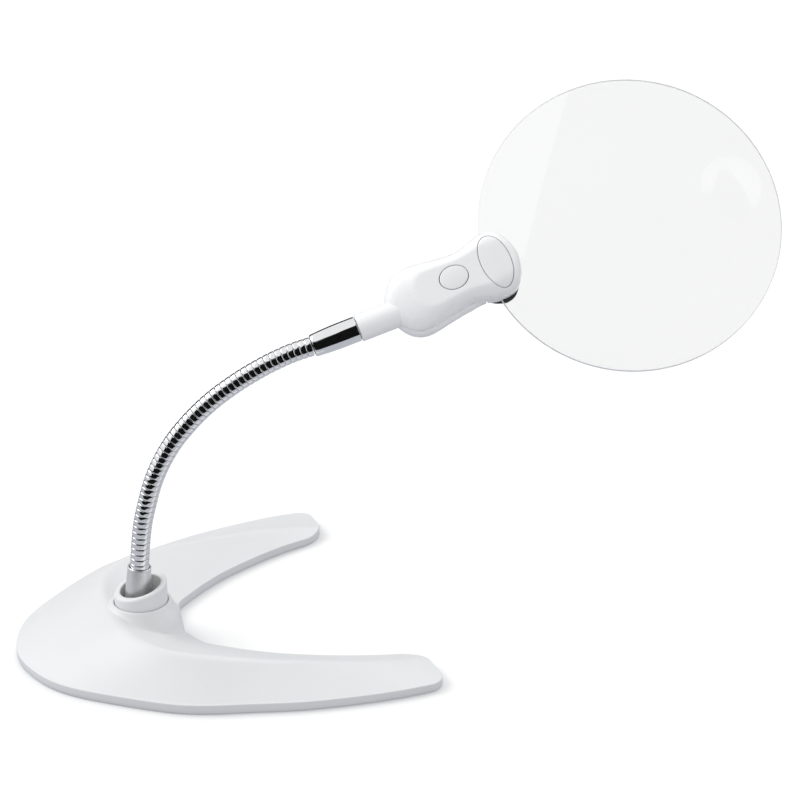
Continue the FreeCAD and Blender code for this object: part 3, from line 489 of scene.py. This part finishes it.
EDGE = 0.45
T_TIP = float(np.interp(92.5, so[len(so) // 2:, 0], st[len(st) // 2:]))
rows = np.linspace(2 * MID - T_TIP, T_TIP, 301)
us = np.concatenate([np.linspace(0, 0.86, 26, endpoint=False), np.linspace(0.86, 1.16, 15, endpoint=False), np.linspace(1.16, 2, 24)])
main = field_grid(rows, us, EDGE)
nu = len(us)


def tip_patch(sign, count=16):
    """Coons patch from the last row out to the rounded leg tip."""
    row = main[-1 if sign > 0 else 0][:, :2].copy()
    row[:, 1] *= sign
    tip = 107.2 - EDGE
    a = np.array([99.3, 88.4 - EDGE])
    e = np.array([92.9 + 0.3, 58.5 + EDGE])
    b, c = np.array([tip, a[1] - 6.6]), np.array([tip - 0.6, e[1] + 10.2])
    cap = circle3(a, (a[0] + 0.72 * (b[0] - a[0]), a[1] - 2.0), b, 24)
    cap += [b + (c - b) * k / 11 for k in range(1, 11)]
    cap += circle3(c, (e[0] + 0.72 * (c[0] - e[0]), e[1] + 4.6), e, 24)
    cap = np.array(cap)
    s = np.concatenate([[0], np.cumsum(np.linalg.norm(np.diff(cap, axis=0), axis=1))])
    rs = np.concatenate([[0], np.cumsum(np.linalg.norm(np.diff(row, axis=0), axis=1))])
    v = rs / rs[-1]
    cap = np.c_[np.interp(v * s[-1], s, cap[:, 0]), np.interp(v * s[-1], s, cap[:, 1])]
    g = np.linspace(0, 1, count + 1)
    left = row[0] + np.outer(g, cap[0] - row[0])
    right = row[-1] + np.outer(g, cap[-1] - row[-1])
    out = np.zeros((count, nu, 3))
    for i in range(1, count + 1):
        w = g[i]
        p = (1 - w) * row + w * cap + np.outer(1 - v, left[i]) + np.outer(v, right[i])
        p -= (1 - w) * (np.outer(1 - v, row[0]) + np.outer(v, row[-1])) + w * (np.outer(1 - v, cap[0]) + np.outer(v, cap[-1]))
        p[:, 1] *= sign
        out[i - 1, :, :2] = p
        out[i - 1, :, 2] = [arm_at(x, y) for x, y in p]
    return out


lead, tail = tip_patch(-1), tip_patch(1)
grid = np.concatenate([lead[::-1], main, tail])
grid[:, :, 2] = cover_height(grid[:, :, 0], grid[:, :, 1], grid[:, :, 2])
nr = len(grid)
verts = [tuple(p) for p in grid.reshape(-1, 3)]
quads = [(i * nu + j, (i + 1) * nu + j, (i + 1) * nu + j + 1, i * nu + j + 1) for i in range(nr - 1) for j in range(nu - 1)]
HOLE = 11.85
rad = np.hypot(grid[:, :, 0], grid[:, :, 1]).reshape(-1)
gone = [f for f in quads if min(rad[i] for i in f) < 13.9]
left, gone = clean_hole(quads, gone)
loop = hole_loop(quads, gone)
seg = 120
ring_ids = []
ring_shape = []
for r in (13.35, 13.1, 12.9, 12.6, 12.25, HOLE + 0.18):
    ids = []
    for k in range(seg):
        g = 2 * math.pi * k / seg
        x, y = r * math.cos(g), r * math.sin(g)
        z = float(cover_height(x, y, arm_at(x, y))) if r > 12.7 else 19.8
        if r < 13.0:
            z = min(z, 19.8) * 0.5 + 9.9 if r > 12.7 else 19.8
        ids.append(len(verts))
        verts.append((x, y, z))
    ring_ids.append(ids)
outer_xy = [verts[i][:2] for i in loop]
ring_xy = [verts[i][:2] for i in ring_ids[0]]
tri = fill(outer_xy, ring_xy, lambda x, y: math.hypot(x, y) > 13.33 and inside(outer_xy, x, y))
names = loop + ring_ids[0]
faces = left + [tuple(names[i] for i in f) for f in tri]
for (r, dz) in ((HOLE + 0.05, 0.05), (HOLE, 0.18), (HOLE, 5.0)):
    ids = []
    for k in range(seg):
        g = 2 * math.pi * k / seg
        ids.append(len(verts))
        verts.append((r * math.cos(g), r * math.sin(g), 19.8 - dz))
    ring_ids.append(ids)
for a, b in zip(ring_ids[:-1], ring_ids[1:]):
    faces += [(a[k], a[(k + 1) % seg], b[(k + 1) % seg], b[k]) for k in range(seg)]
# Rounded shoulder, upright wall, turned-in lower lip.
bound = [i * nu for i in range(nr)] + [(nr - 1) * nu + j for j in range(1, nu)] + [i * nu + nu - 1 for i in range(nr - 2, -1, -1)] + [j for j in range(nu - 2, 0, -1)]
bp = np.array([verts[i] for i in bound])
tang = np.roll(bp[:, :2], -1, 0) - np.roll(bp[:, :2], 1, 0)
tang /= np.linalg.norm(tang, axis=1)[:, None]
nor = np.c_[tang[:, 1], -tang[:, 0]]
if inside(bp[:, :2], *(bp[0, :2] + nor[0] * 0.05)):
    nor = -nor
prev = bound
lips = [("r", math.radians(g)) for g in (15, 30, 45, 60, 75, 90)] + [("w", 0.5), ("w", 0.0), ("c", 0.12), ("b", 0.3), ("b", 2.5), ("i", 3.4)]
for kind, q in lips:
    ids = []
    for k in range(len(bound)):
        x, y, z = bp[k]
        if kind == "r":
            off, zz = EDGE * math.sin(q), z - EDGE * (1 - math.cos(q))
        elif kind == "w":
            off, zz = EDGE, BOTTOM + 0.3 + (z - EDGE - BOTTOM - 0.3) * q
        elif kind == "c":
            off, zz = EDGE - q, BOTTOM + 0.1
        elif kind == "b":
            off, zz = EDGE - q, BOTTOM
        else:
            off, zz = EDGE - 2.5, q
        ids.append(len(verts))
        verts.append((x + nor[k, 0] * off, y + nor[k, 1] * off, zz))
    n = len(bound)
    faces += [(prev[k], prev[(k + 1) % n], ids[(k + 1) % n], ids[k]) for k in range(n)]
    prev = ids
cover = Shape()
cover.add(verts, faces)
cover.make("base_cover_skin", "base", [SHELL], ["base_cover"], sharp=50)

# ------------------------------------------------------------------ collar
RIMZ, SLOPE = 26.9, math.tan(math.radians(14.3))
collar = Shape()
prof = rounded([(11.5, -14.0, 0), (11.5, 0.0, 1.7), (8.8, 0.0, 0.75), (8.8, -12.6, 0)], 7)
seg = 144
cv, cf, cm = [], [], []
for (r, dz) in prof:
    for k in range(seg):
        g = 2 * math.pi * k / seg
        top = RIMZ + SLOPE * r * math.cos(g)
        z = 12.0 if dz < -13 else (14.3 if dz < -12 else top + dz)
        cv.append((r * math.cos(g), r * math.sin(g), z))
for i in range(len(prof) - 1):
    for k in range(seg):
        l = (k + 1) % seg
        cf.append((i * seg + k, i * seg + l, (i + 1) * seg + l, (i + 1) * seg + k))
        cm.append(0 if i < len(prof) - 2 else 1)
base = len(cv)
for r in (8.8, 7.0, 5.0, 3.0):
    for k in range(seg):
        g = 2 * math.pi * k / seg
        cv.append((r * math.cos(g), r * math.sin(g), 14.3))
for i in range(3):
    for k in range(seg):
        l = (k + 1) % seg
        cf.append((base + i * seg + k, base + i * seg + l, base + (i + 1) * seg + l, base + (i + 1) * seg + k))
        cm.append(1)
collar.v, collar.f, collar.m = cv, cf, cm
collar.make("collar_skin", "base", [SHELL, CAVITY], ["collar"])

# ------------------------------------------------------------------ lower ferrule
low = Shape()
low.lathe(rounded([(1.9, -32.0, 0), (3.9, -32.0, 0.3), (3.9, -23.15, 0), (7.4, -23.15, 0.2), (7.4, -21.6, 0.4), (5.5, -21.6, 0.5),
                   (5.5, -9.0, 6.0), (5.1, -0.5, 0.0), (5.05, 0.0, 0.25), (4.35, 0.0, 0.15), (4.3, -4.0, 0), (1.9, -4.0, 0)]),
          MOUTH, FDIR, E, 96)
low.make("lower_ferrule_skin", "neck_foot", [SATIN], ["lower_ferrule"])

# ------------------------------------------------------------------ flexible neck: 52 rings on 13 links
half = 1.185


def ring_profile():
    pts = []
    for k in range(15):
        g = -1 + 2 * k / 14
        pts.append((4.12 - 0.075 * abs(g) ** 3.0 - (0.12 if abs(g) > 0.99 else 0.0), g * half))
    return [(3.2, -half + 0.02), (3.62, -half)] + pts[0:] + [(3.62, half), (3.2, half - 0.02)]


RP = ring_profile()
bodies = ["neck_foot"] + ["neck_%02d" % k for k in range(2, 13)] + ["neck_tip"]
for link in range(LINKS):
    s = Shape()
    centres = []
    for k in range(PER):
        p, t = neck_at(FIRST + PITCH * (link * PER + k))
        centres.append((p, t))
        s.lathe(RP, p, t, SIDE, 56, 0)
    a, ta = neck_at(FIRST + PITCH * (link * PER - 0.5) + 0.05)
    b, tb = neck_at(FIRST + PITCH * (link * PER + PER - 0.5) - 0.05)
    path = [(a, ta)] + centres + [(b, tb)]
    for (p, t), (q, u) in zip(path[:-1], path[1:]):
        d = unit(q - p)
        length = float(np.linalg.norm(q - p))
        # The core tube between rings takes the darkened steel, which is painted shade in the grooves.
        s.lathe([(3.52, 0.0), (3.52, length)], p, d, SIDE, 40, 1)
    s.make("neck_rings_%02d" % (link + 1), bodies[link], [CHROME, NECK_CORE_SHADE], ["neck_link_%02d" % (link + 1)])

# ------------------------------------------------------------------ upper ferrule and stem
tipf = Shape()
og = [(4.22, 0.0, 0.1), (4.62, 0.0, 0.2), (4.82, 0.4, 0)]
for k in range(1, 13):
    q = k / 12.0
    og.append((4.82 + (5.42 - 4.82) * math.sin(q * math.pi / 2) ** 0.9, 0.4 + 13.6 * q, 0))
og += [(5.42, 19.55, 0.0), (5.42, 20.0, 0.15), (3.46, 20.0, 0.05), (3.46, 12.0, 0)]
tipf.lathe(rounded(og), STEM_ZERO + H * TIP_ALONG, H, N, 96)
tipf.lathe([(4.22, 0.0), (4.22, 4.2), (2.0, 4.2)], STEM_ZERO + H * TIP_ALONG, H, N, 96)
tipf.make("upper_ferrule_skin", "neck_tip", [CHROME], ["upper_ferrule"], sharp=45)

stem = Shape()
S0 = TIP_ALONG + 20.3 + 0.15
stem.lathe(rounded([(1.4, -10.0, 0), (3.4, -10.0, 0.3), (3.4, 0.0, 0), (5.3, 0.0, 0), (5.3, 0.3, 0), (5.75, 0.3, 0.0), (5.95, 0.5, 0.1), (5.95, 24.0, 0), (1.4, 24.0, 0)], 5),
           STEM_ZERO + H * S0, H, N, 96)
stem.make("head_stem_skin", "head", [HEADW], ["head_stem"])

# ------------------------------------------------------------------ head
HEAD = [(-110.2, 5.2, 7.2, 0.6), (-108.6, 8.9, 8.9, -1.6), (-105.4, 13.0, 10.6, -3.4), (-100.0, 15.6, 11.8, -4.4),
        (-92.0, 15.2, 12.4, -4.7), (-85.0, 14.1, 12.5, -4.7), (-78.0, 13.3, 12.5, -4.7), (-72.0, 13.6, 12.5, -4.7),
        (-66.0, 14.9, 12.5, -4.7), (-61.0, 15.7, 12.5, -4.7), (-57.0, 14.6, 12.2, -4.6), (-53.8, 11.2, 11.4, -4.3),
        (-52.0, 7.2, 10.2, -4.0)]
Y0, SLIM, SPLIT, FLAT, POW = 0.55, 0.55, 4.2, 12.45, 2.35
ends = [(-110.65, 2.0, 6.0, 1.8)] + HEAD + [(-51.35, 3.6, 9.4, -3.6), (-51.15, 0.6, 9.0, -3.4)]
ha = np.array(ends, float)
ht = np.concatenate([[0], np.cumsum(np.hypot(np.diff(ha[:, 0]), np.diff(ha[:, 1])))])
hq = cubic(ht, ha, np.linspace(0, ht[-1], 121))
hq[:, 1] = np.maximum(hq[:, 1] - SLIM * np.clip(hq[:, 1] / 6.0, 0, 1), 0.05)


def head_at(p):
    """Head frame points to the row frame."""
    p = np.asarray(p, float)
    return HEAD_O + np.outer(p[:, 0], HX) + np.outer(p[:, 1], HY) + np.outer(p[:, 2], N)


def superpow(c, e):
    return np.sign(c) * np.abs(c) ** (2 / e)


def crown(x, top):
    tail = np.interp(x, [-110.5, -108.6, -105.4, -100.0, -96.0, -92.0], [0.3, 0.7, 1.35, 1.25, 0.55, 0.1])
    return SPLIT + (top - tail - SPLIT) / 0.85


def slim_side(x, y):
    """How far the upper shell stands in from the lower one, on either side."""
    body = np.interp(x, [-111, -107, -76, -66, -50], [0.7, 1.2, 1.2, 0.15, 0.1])
    front = np.interp(x, [-72, -66, -60, -54, -51], [0.0, 0.3, 0.8, 0.6, 0.0])
    return body + np.where(np.asarray(y) < 0, front, 0.0)


def top_z(x, y):
    a = np.interp(x, hq[:, 0], hq[:, 1]) - slim_side(x, y - Y0)
    top = np.interp(x, hq[:, 0], hq[:, 2])
    s = np.clip(np.abs(y - Y0) / a, 0, 0.9999)
    z = SPLIT + (crown(x, top) - SPLIT) * (1 - s ** POW) ** (1 / POW)
    return softmin(z, FLAT + 0 * z, 0.3)


upper = Shape()
na = 65
ang = np.linspace(-math.pi / 2, math.pi / 2, na)
gv = []
for x, a, top, lowz in hq:
    y = np.maximum(a - slim_side(x, np.sin(ang)), 0.04) * superpow(np.sin(ang), POW)
    z = SPLIT + (crown(x, top) - SPLIT) * superpow(np.cos(ang), POW)
    z = softmin(z, FLAT + 0 * z, 0.3)
    gv.append(np.c_[np.full(na, x), y + Y0, z])
gv = np.array(gv)
nx = len(gv)
hv = [tuple(p) for p in gv.reshape(-1, 3)]
hquads = [(i * na + j, (i + 1) * na + j, (i + 1) * na + j + 1, i * na + j + 1) for i in range(nx - 1) for j in range(na - 1)]
BX, BY, OX, OY = -80.5, 0.9, -61.5, 0.4
OVALS = [(BX, BY, 12.3 / 2, 9.8 / 2, 0.34, "b"), (OX, OY, 12.6 / 2, 23.4 / 2, 0.30, "p")]
faces = hquads
mats_of = None
rings_to_add = []
for cx, cy, ra, rb, gap, kind in OVALS:
    def rho(p, grow=0.9):
        return math.hypot((p[0] - cx) / (ra + grow), (p[1] - cy) / (rb + grow))
    gone = [f for f in faces if min(rho(hv[i]) for i in f) < 1.0]
    faces, gone = clean_hole(faces, gone)
    loop = hole_loop(None, gone)
    n = 96
    first = None
    prev = None
    for grow, dz in ((gap + 0.45, 0.0), (gap + 0.16, 0.0), (gap + 0.05, 0.05), (gap, 0.16), (gap, 1.5)):
        ids = []
        for k in range(n):
            g = 2 * math.pi * k / n
            x, y = cx + (ra + grow) * math.cos(g), cy + (rb + grow) * math.sin(g)
            ids.append(len(hv))
            hv.append((x, y, float(top_z(x, y)) - dz))
        if prev is not None:
            faces = faces + [(prev[k], prev[(k + 1) % n], ids[(k + 1) % n], ids[k]) for k in range(n)]
        else:
            first = ids
        prev = ids
    oxy = [hv[i][:2] for i in loop]
    rxy = [hv[i][:2] for i in first]
    tri = fill(oxy, rxy, lambda x, y: math.hypot((x - cx) / (ra + gap + 0.449), (y - cy) / (rb + gap + 0.449)) > 1.0 and inside(oxy, x, y))
    names = loop + first
    faces = faces + [tuple(names[i] for i in f) for f in tri]
    if kind == "p":
        faces = faces + [tuple(prev)]
# side walls of the upper shell: down to the split, and at the lens down to just over the glass
edge = [i * na for i in range(nx)], [i * na + na - 1 for i in range(nx)]
for ids in edge:
    drop_ids = []
    for i in ids:
        x, y, z = hv[i]
        drop_ids.append(len(hv))
        hv.append((x, y, float(np.interp(x, [-70.4, -70.2, -64.6, -64.0, -58.0, -51.0], [SPLIT - 0.02, -0.8, -0.8, 1.25, 1.75, 2.6]))))
    faces = faces + [(ids[k], ids[k + 1], drop_ids[k + 1], drop_ids[k]) for k in range(nx - 1)]
    ids = drop_ids
    low_ids = []
    for i in ids:
        x, y, z = hv[i]
        low_ids.append(len(hv))
        hv.append((x, Y0 + (y - Y0) * 0.97, z - 0.12))
    in_ids = []
    for i in ids:
        x, y, z = hv[i]
        in_ids.append(len(hv))
        hv.append((x, Y0 + (y - Y0) * 0.80, z - 0.12))
    faces = faces + [(ids[k], ids[k + 1], low_ids[k + 1], low_ids[k]) for k in range(nx - 1)]
    faces = faces + [(low_ids[k], low_ids[k + 1], in_ids[k + 1], in_ids[k]) for k in range(nx - 1)]
upper.add(head_at(hv), faces)
upper.make("head_upper_skin", "head", [HEADW], ["head_upper_shell"], sharp=55)


def lower_body(x_from, x_to, top, grow, name, mat, nodes):
    """The shell below the split: upright sides, rounded bottom edge, flat floor."""
    s = Shape()
    keep = [q for q in hq if x_from <= q[0] <= x_to]
    pts = []
    for x, a, _, lowz in keep:
        b = a + grow
        if top > 0:
            b = a + grow - float(np.interp(x, [-78.0, -70.2], [0.0, 1.2]))
        else:
            b = a + float(np.interp(x, [-70, -66.5, -62, -58, -54.5, -51], [-1.6, -0.1, 0.50, 0.15, -1.0, -1.7]))
            b = max(b, 0.5)
        lean = min(1.5 * float(np.interp(x, [-111, -107, -76, -70], [0.5, 1.0, 1.0, 0.6])), b * 0.4) if top > 0 else min(0.4, b * 0.4)
        zc = 0.6 if top > 0 else -1.6
        line = [(b - lean - min(1.2, b * 0.3), top)]
        for k in range(0, 8):
            g = math.pi / 2 * k / 8
            line.append((b - lean + lean * math.sin(g), zc + (top - zc) * math.cos(g)))
        for k in range(0, 13):
            g = math.pi / 2 * k / 12
            line.append((b * math.cos(g) ** (2 / 4.2), zc + (lowz - zc) * math.sin(g) ** (2 / 4.2)))
        full = [(x, Y0 + q, z) for q, z in line] + [(x, Y0 - q, z) for q, z in reversed(line[:-1])]
        pts.append(full)
    m = len(pts[0])
    vv = [p for row in pts for p in row]
    ff = [(i * m + j, (i + 1) * m + j, (i + 1) * m + j + 1, i * m + j + 1) for i in range(len(pts) - 1) for j in range(m - 1)]
    ff += [tuple(range(m)), tuple((len(pts) - 1) * m + j for j in reversed(range(m)))]
    s.add(head_at(vv), ff)
    return s.make(name, "head", [mat], nodes, sharp=50)


lower_body(-110.7, -70.2, SPLIT - 0.16, 0.35, "head_lower_skin", HEADW, ["head_lower_shell"])
lower_body(-70.0, -51.0, -1.0, 0.35, "led_housing_skin", BLACK, ["led_housing"])


def oval_cap(name, body, mat, cx, cy, ra, rb, lift, dome, depth, nodes):
    s = Shape()
    n = 96
    steps = [(1.0, -depth), (1.0, -0.20)] + [(1 - 0.28 * (1 - math.cos(g)) / ra, -0.20 + 0.20 * math.sin(g)) for g in (math.pi / 6, math.pi / 3)]
    steps += [(q, 0.0) for q in (0.94, 0.85, 0.7, 0.5, 0.3, 0.12)]
    vv = []
    for q, dz in steps:
        for k in range(n):
            g = 2 * math.pi * k / n
            x, y = cx + ra * q * math.cos(g), cy + rb * q * math.sin(g)
            vv.append((x, y, float(top_z(x, y)) + lift + dz + dome * (1 - q * q)))
    ff = [(i * n + k, i * n + (k + 1) % n, (i + 1) * n + (k + 1) % n, (i + 1) * n + k) for i in range(len(steps) - 1) for k in range(n)]
    ff.append(tuple((len(steps) - 1) * n + k for k in range(n)))
    ff.append(tuple(reversed(range(n))))
    s.add(head_at(vv), ff)
    return s.make(name, body, [mat], nodes, sharp=45)


oval_cap("power_button_skin", "button", INLAY, BX, BY, 12.3 / 2, 9.8 / 2, 0.10, 0.35, 2.0, ["power_button"])
oval_cap("cover_plate_skin", "head", INLAY, OX, OY, 12.6 / 2, 23.4 / 2, 0.02, 0.12, 1.2, ["head_cover_plate"])

# ------------------------------------------------------------------ lens
LR, LE, LC = 65.0, 1.8, 480.0
SR, RISE, SX, SY = 13.0, 2.6, 46.5, -1.5
sag = LC - math.sqrt(LC * LC - LR * LR)


def face_z(r):
    return LE / 2 + sag - (LC - np.sqrt(LC * LC - r * r))


rr = math.hypot(SX, SY)
seat = np.array([SX, SY, face_z(rr)])
sn = np.array([SX / LC, SY / LC, math.sqrt(1 - (rr / LC) ** 2)])
ball_r = (SR * SR + RISE * RISE) / (2 * RISE)
ball_c = seat + sn * (RISE - ball_r)


def spot_z(x, y):
    d = ball_r ** 2 - (x - ball_c[0]) ** 2 - (y - ball_c[1]) ** 2
    return ball_c[2] + np.sqrt(np.maximum(d, 0))


pts, kind = [], []
n_out = 180
RE = LR - 0.35
for r, n in [(RE, n_out)] + [(RE - 2.6 * k, max(24, int(n_out * (RE - 2.6 * k) / RE))) for k in range(1, 24)]:
    for k in range(n):
        g = 2 * math.pi * (k + 0.5 * (n % 2)) / n
        x, y = r * math.cos(g), r * math.sin(g)
        if r == RE or math.hypot(x - SX, y - SY) > SR + 1.0:
            pts.append((x, y))
pts.append((0.0, 0.0))
n_rim = len([1 for k in range(n_out)])
spot_from = len(pts)
edge_ids = []
for k in range(96):
    g = 2 * math.pi * k / 96
    lo, hi = SR - 3.0, SR + 3.0
    for _ in range(40):
        m = (lo + hi) / 2
        x, y = SX + m * math.cos(g), SY + m * math.sin(g)
        if spot_z(x, y) > face_z(math.hypot(x, y)):
            lo = m
        else:
            hi = m
    edge_ids.append(len(pts))
    pts.append((SX + lo * math.cos(g), SY + lo * math.sin(g)))
for q, n in ((0.955, 96), (0.9, 84), (0.82, 72), (0.72, 60), (0.6, 48), (0.46, 40), (0.32, 28), (0.17, 16)):
    for k in range(n):
        g = 2 * math.pi * (k + 0.5) / n
        pts.append((SX + SR * q * math.cos(g), SY + SR * q * math.sin(g)))
pts.append((SX, SY))
cons = [(i, (i + 1) % n_out) for i in range(n_out)] + [(edge_ids[k], edge_ids[(k + 1) % 96]) for k in range(96)]
vs, _, fs, origin, _, _ = delaunay_2d_cdt([Vector(p) for p in pts], cons, [], 0, 1e-7)
lens = Shape()


def lens_at(p):
    p = np.asarray(p, float)
    return LENS_C + np.outer(p[:, 0], H) + np.outer(p[:, 1], W) + np.outer(p[:, 2], N)


upper_face = []
for q in vs:
    z = face_z(math.hypot(q.x, q.y))
    if math.hypot(q.x - SX, q.y - SY) < SR + 0.5:
        z = max(z, float(spot_z(q.x, q.y)))
    upper_face.append((q.x, q.y, float(z)))
lens.add(lens_at(upper_face), [tuple(f) for f in fs])
rim = rounded([(RE, float(face_z(RE)), 0), (LR, float(face_z(LR)), 0.3), (LR, -float(face_z(LR)), 0.3), (RE, -float(face_z(RE)), 0)], 4)
lens.lathe(rim, LENS_C, N, H, n_out, mat=1)
under = [(RE, -float(face_z(RE)))] + [(RE * q, -float(face_z(RE * q))) for q in (0.97, 0.93, 0.88, 0.82, 0.75, 0.67, 0.58, 0.49, 0.4, 0.31, 0.22, 0.13, 0.05, 0.0)]
lens.lathe(under, LENS_C, N, H, n_out)
lens.make("main_lens_skin", "head", [LENS, EDGE_ACRYLIC], ["main_lens"], sharp=12)

# ------------------------------------------------------------------ camera
cam_data = bpy.data.cameras.new("photo_camera")
cam_data.lens, cam_data.sensor_width = 90.0, 36.0
cam_data.clip_start, cam_data.clip_end = 0.02, 60.0
cam = bpy.data.objects.new("photo_camera", cam_data)
bpy.context.scene.collection.objects.link(cam)
R = Vector((0.928486, -0.371368, 0.0))
D = Vector((-0.142116, -0.355316, -0.923880))
F = Vector((0.343099, 0.857809, -0.382683))
cam.matrix_world = Matrix(((R.x, -D.x, -F.x, -0.18116), (R.y, -D.y, -F.y, -0.75538), (R.z, -D.z, -F.z, 0.43195), (0, 0, 0, 1)))
bpy.context.scene.camera = cam

# ------------------------------------------------------------------ floor, light and reflection cards
scene = bpy.context.scene
scene.view_settings.view_transform = "Standard"
scene.view_settings.look = "None"
scene.view_settings.exposure = 0.0


def sheet_mesh(name, corners, mat):
    me = bpy.data.meshes.new(name)
    me.from_pydata(corners, [], [tuple(range(len(corners)))])
    me.materials.append(mat)
    o = bpy.data.objects.new(name, me)
    scene.collection.objects.link(o)
    return o


FLOOR = surface("studio_floor", (0.90, 0.90, 0.90), (0.92, 0.92, 0.92), (0.75, 0.85), patch=2.0, grain=400.0, spec=0.1)
floor = sheet_mesh("studio_floor", [(-9, -9, 0), (9, -9, 0), (9, 9, 0), (-9, 9, 0)], FLOOR)
floor.visible_diffuse = floor.visible_glossy = False

world = bpy.data.worlds.new("soft_studio")
scene.world = world
world.use_nodes = True
wn = world.node_tree
bg = wn.nodes["Background"]
bg.inputs["Strength"].default_value = 1.0
coord = wn.nodes.new("ShaderNodeTexCoord")
split = wn.nodes.new("ShaderNodeSeparateXYZ")
sky = wn.nodes.new("ShaderNodeValToRGB")
sky.color_ramp.elements[0].position, sky.color_ramp.elements[1].position = 0.47, 0.53
sky.color_ramp.elements[0].color = (0.520, 0.535, 0.580, 1)
sky.color_ramp.elements[1].color = (0.905, 0.909, 0.915, 1)
half_up = wn.nodes.new("ShaderNodeMapRange")
half_up.inputs["From Min"].default_value, half_up.inputs["From Max"].default_value = -1.0, 1.0
wn.links.new(coord.outputs["Generated"], split.inputs["Vector"])
wn.links.new(split.outputs["Z"], half_up.inputs["Value"])
wn.links.new(half_up.outputs["Result"], sky.inputs["Fac"])
wn.links.new(sky.outputs["Color"], bg.inputs["Color"])


def area(name, place, target, size, power, colour=(1, 1, 1)):
    data = bpy.data.lights.new(name, "AREA")
    data.shape, data.size, data.energy, data.color = "SQUARE", size, power, colour
    o = bpy.data.objects.new(name, data)
    scene.collection.objects.link(o)
    o.location = place
    o.rotation_euler = (Vector(target) - Vector(place)).to_track_quat("-Z", "Y").to_euler()
    return o


area("key_soft", (-1.40, 0.95, 1.45), (0.04, 0.0, 0.05), 1.5, 22.0, (1.0, 0.998, 0.990))
area("fill_right", (1.6, 0.9, 1.3), (0.1, 0.0, 0.06), 1.4, 7.0, (0.99, 0.995, 1.0))

CARD = surface("reflection_card", (0.004, 0.004, 0.004), (0.008, 0.008, 0.008), (0.9, 1.0), patch=3.0, spec=0.0)


def card(name, corners):
    o = sheet_mesh(name, corners, CARD)
    o.visible_camera = o.visible_diffuse = o.visible_shadow = o.visible_transmission = o.visible_volume_scatter = False
    return o


# In front of the lamp, on the camera's side, seen only by glossy surfaces.
back = -F.copy()
back.z = 0
back.normalize()
across = Vector((-back.y, back.x, 0))


def front(distance, height, side):
    p = Vector((0.09, -0.02, 0)) + back * distance + across * side
    return (p.x, p.y, height)


card("card_floor_front", [front(0.17, 0.004, -1.6), front(0.17, 0.004, 1.6), front(1.2, 0.004, 1.6), front(1.2, 0.004, -1.6)])
card("card_front", [front(1.2, 0.004, -1.6), front(1.2, 0.004, 1.6), front(1.2, 1.28, 1.6), front(1.2, 1.28, -1.6)])
card("card_front_top", [front(1.2, 1.33, -1.6), front(1.2, 1.33, 1.6), front(1.2, 1.50, 1.6), front(1.2, 1.50, -1.6)])
card("card_lens", [front(1.2, 1.50, -0.12), front(1.2, 1.50, 1.6), front(1.2, 6.0, 1.6), front(1.2, 6.0, 0.35)])
card("card_gap", [front(1.2, 1.26, -0.2), front(1.2, 1.26, 1.6), front(1.2, 1.35, 1.6), front(1.2, 1.35, -0.2)])
card("card_back", [front(-2.6, 0.02, -3.5), front(-2.6, 0.02, 3.5), front(-2.6, 1.7, 3.5), front(-2.6, 1.7, -3.5)])
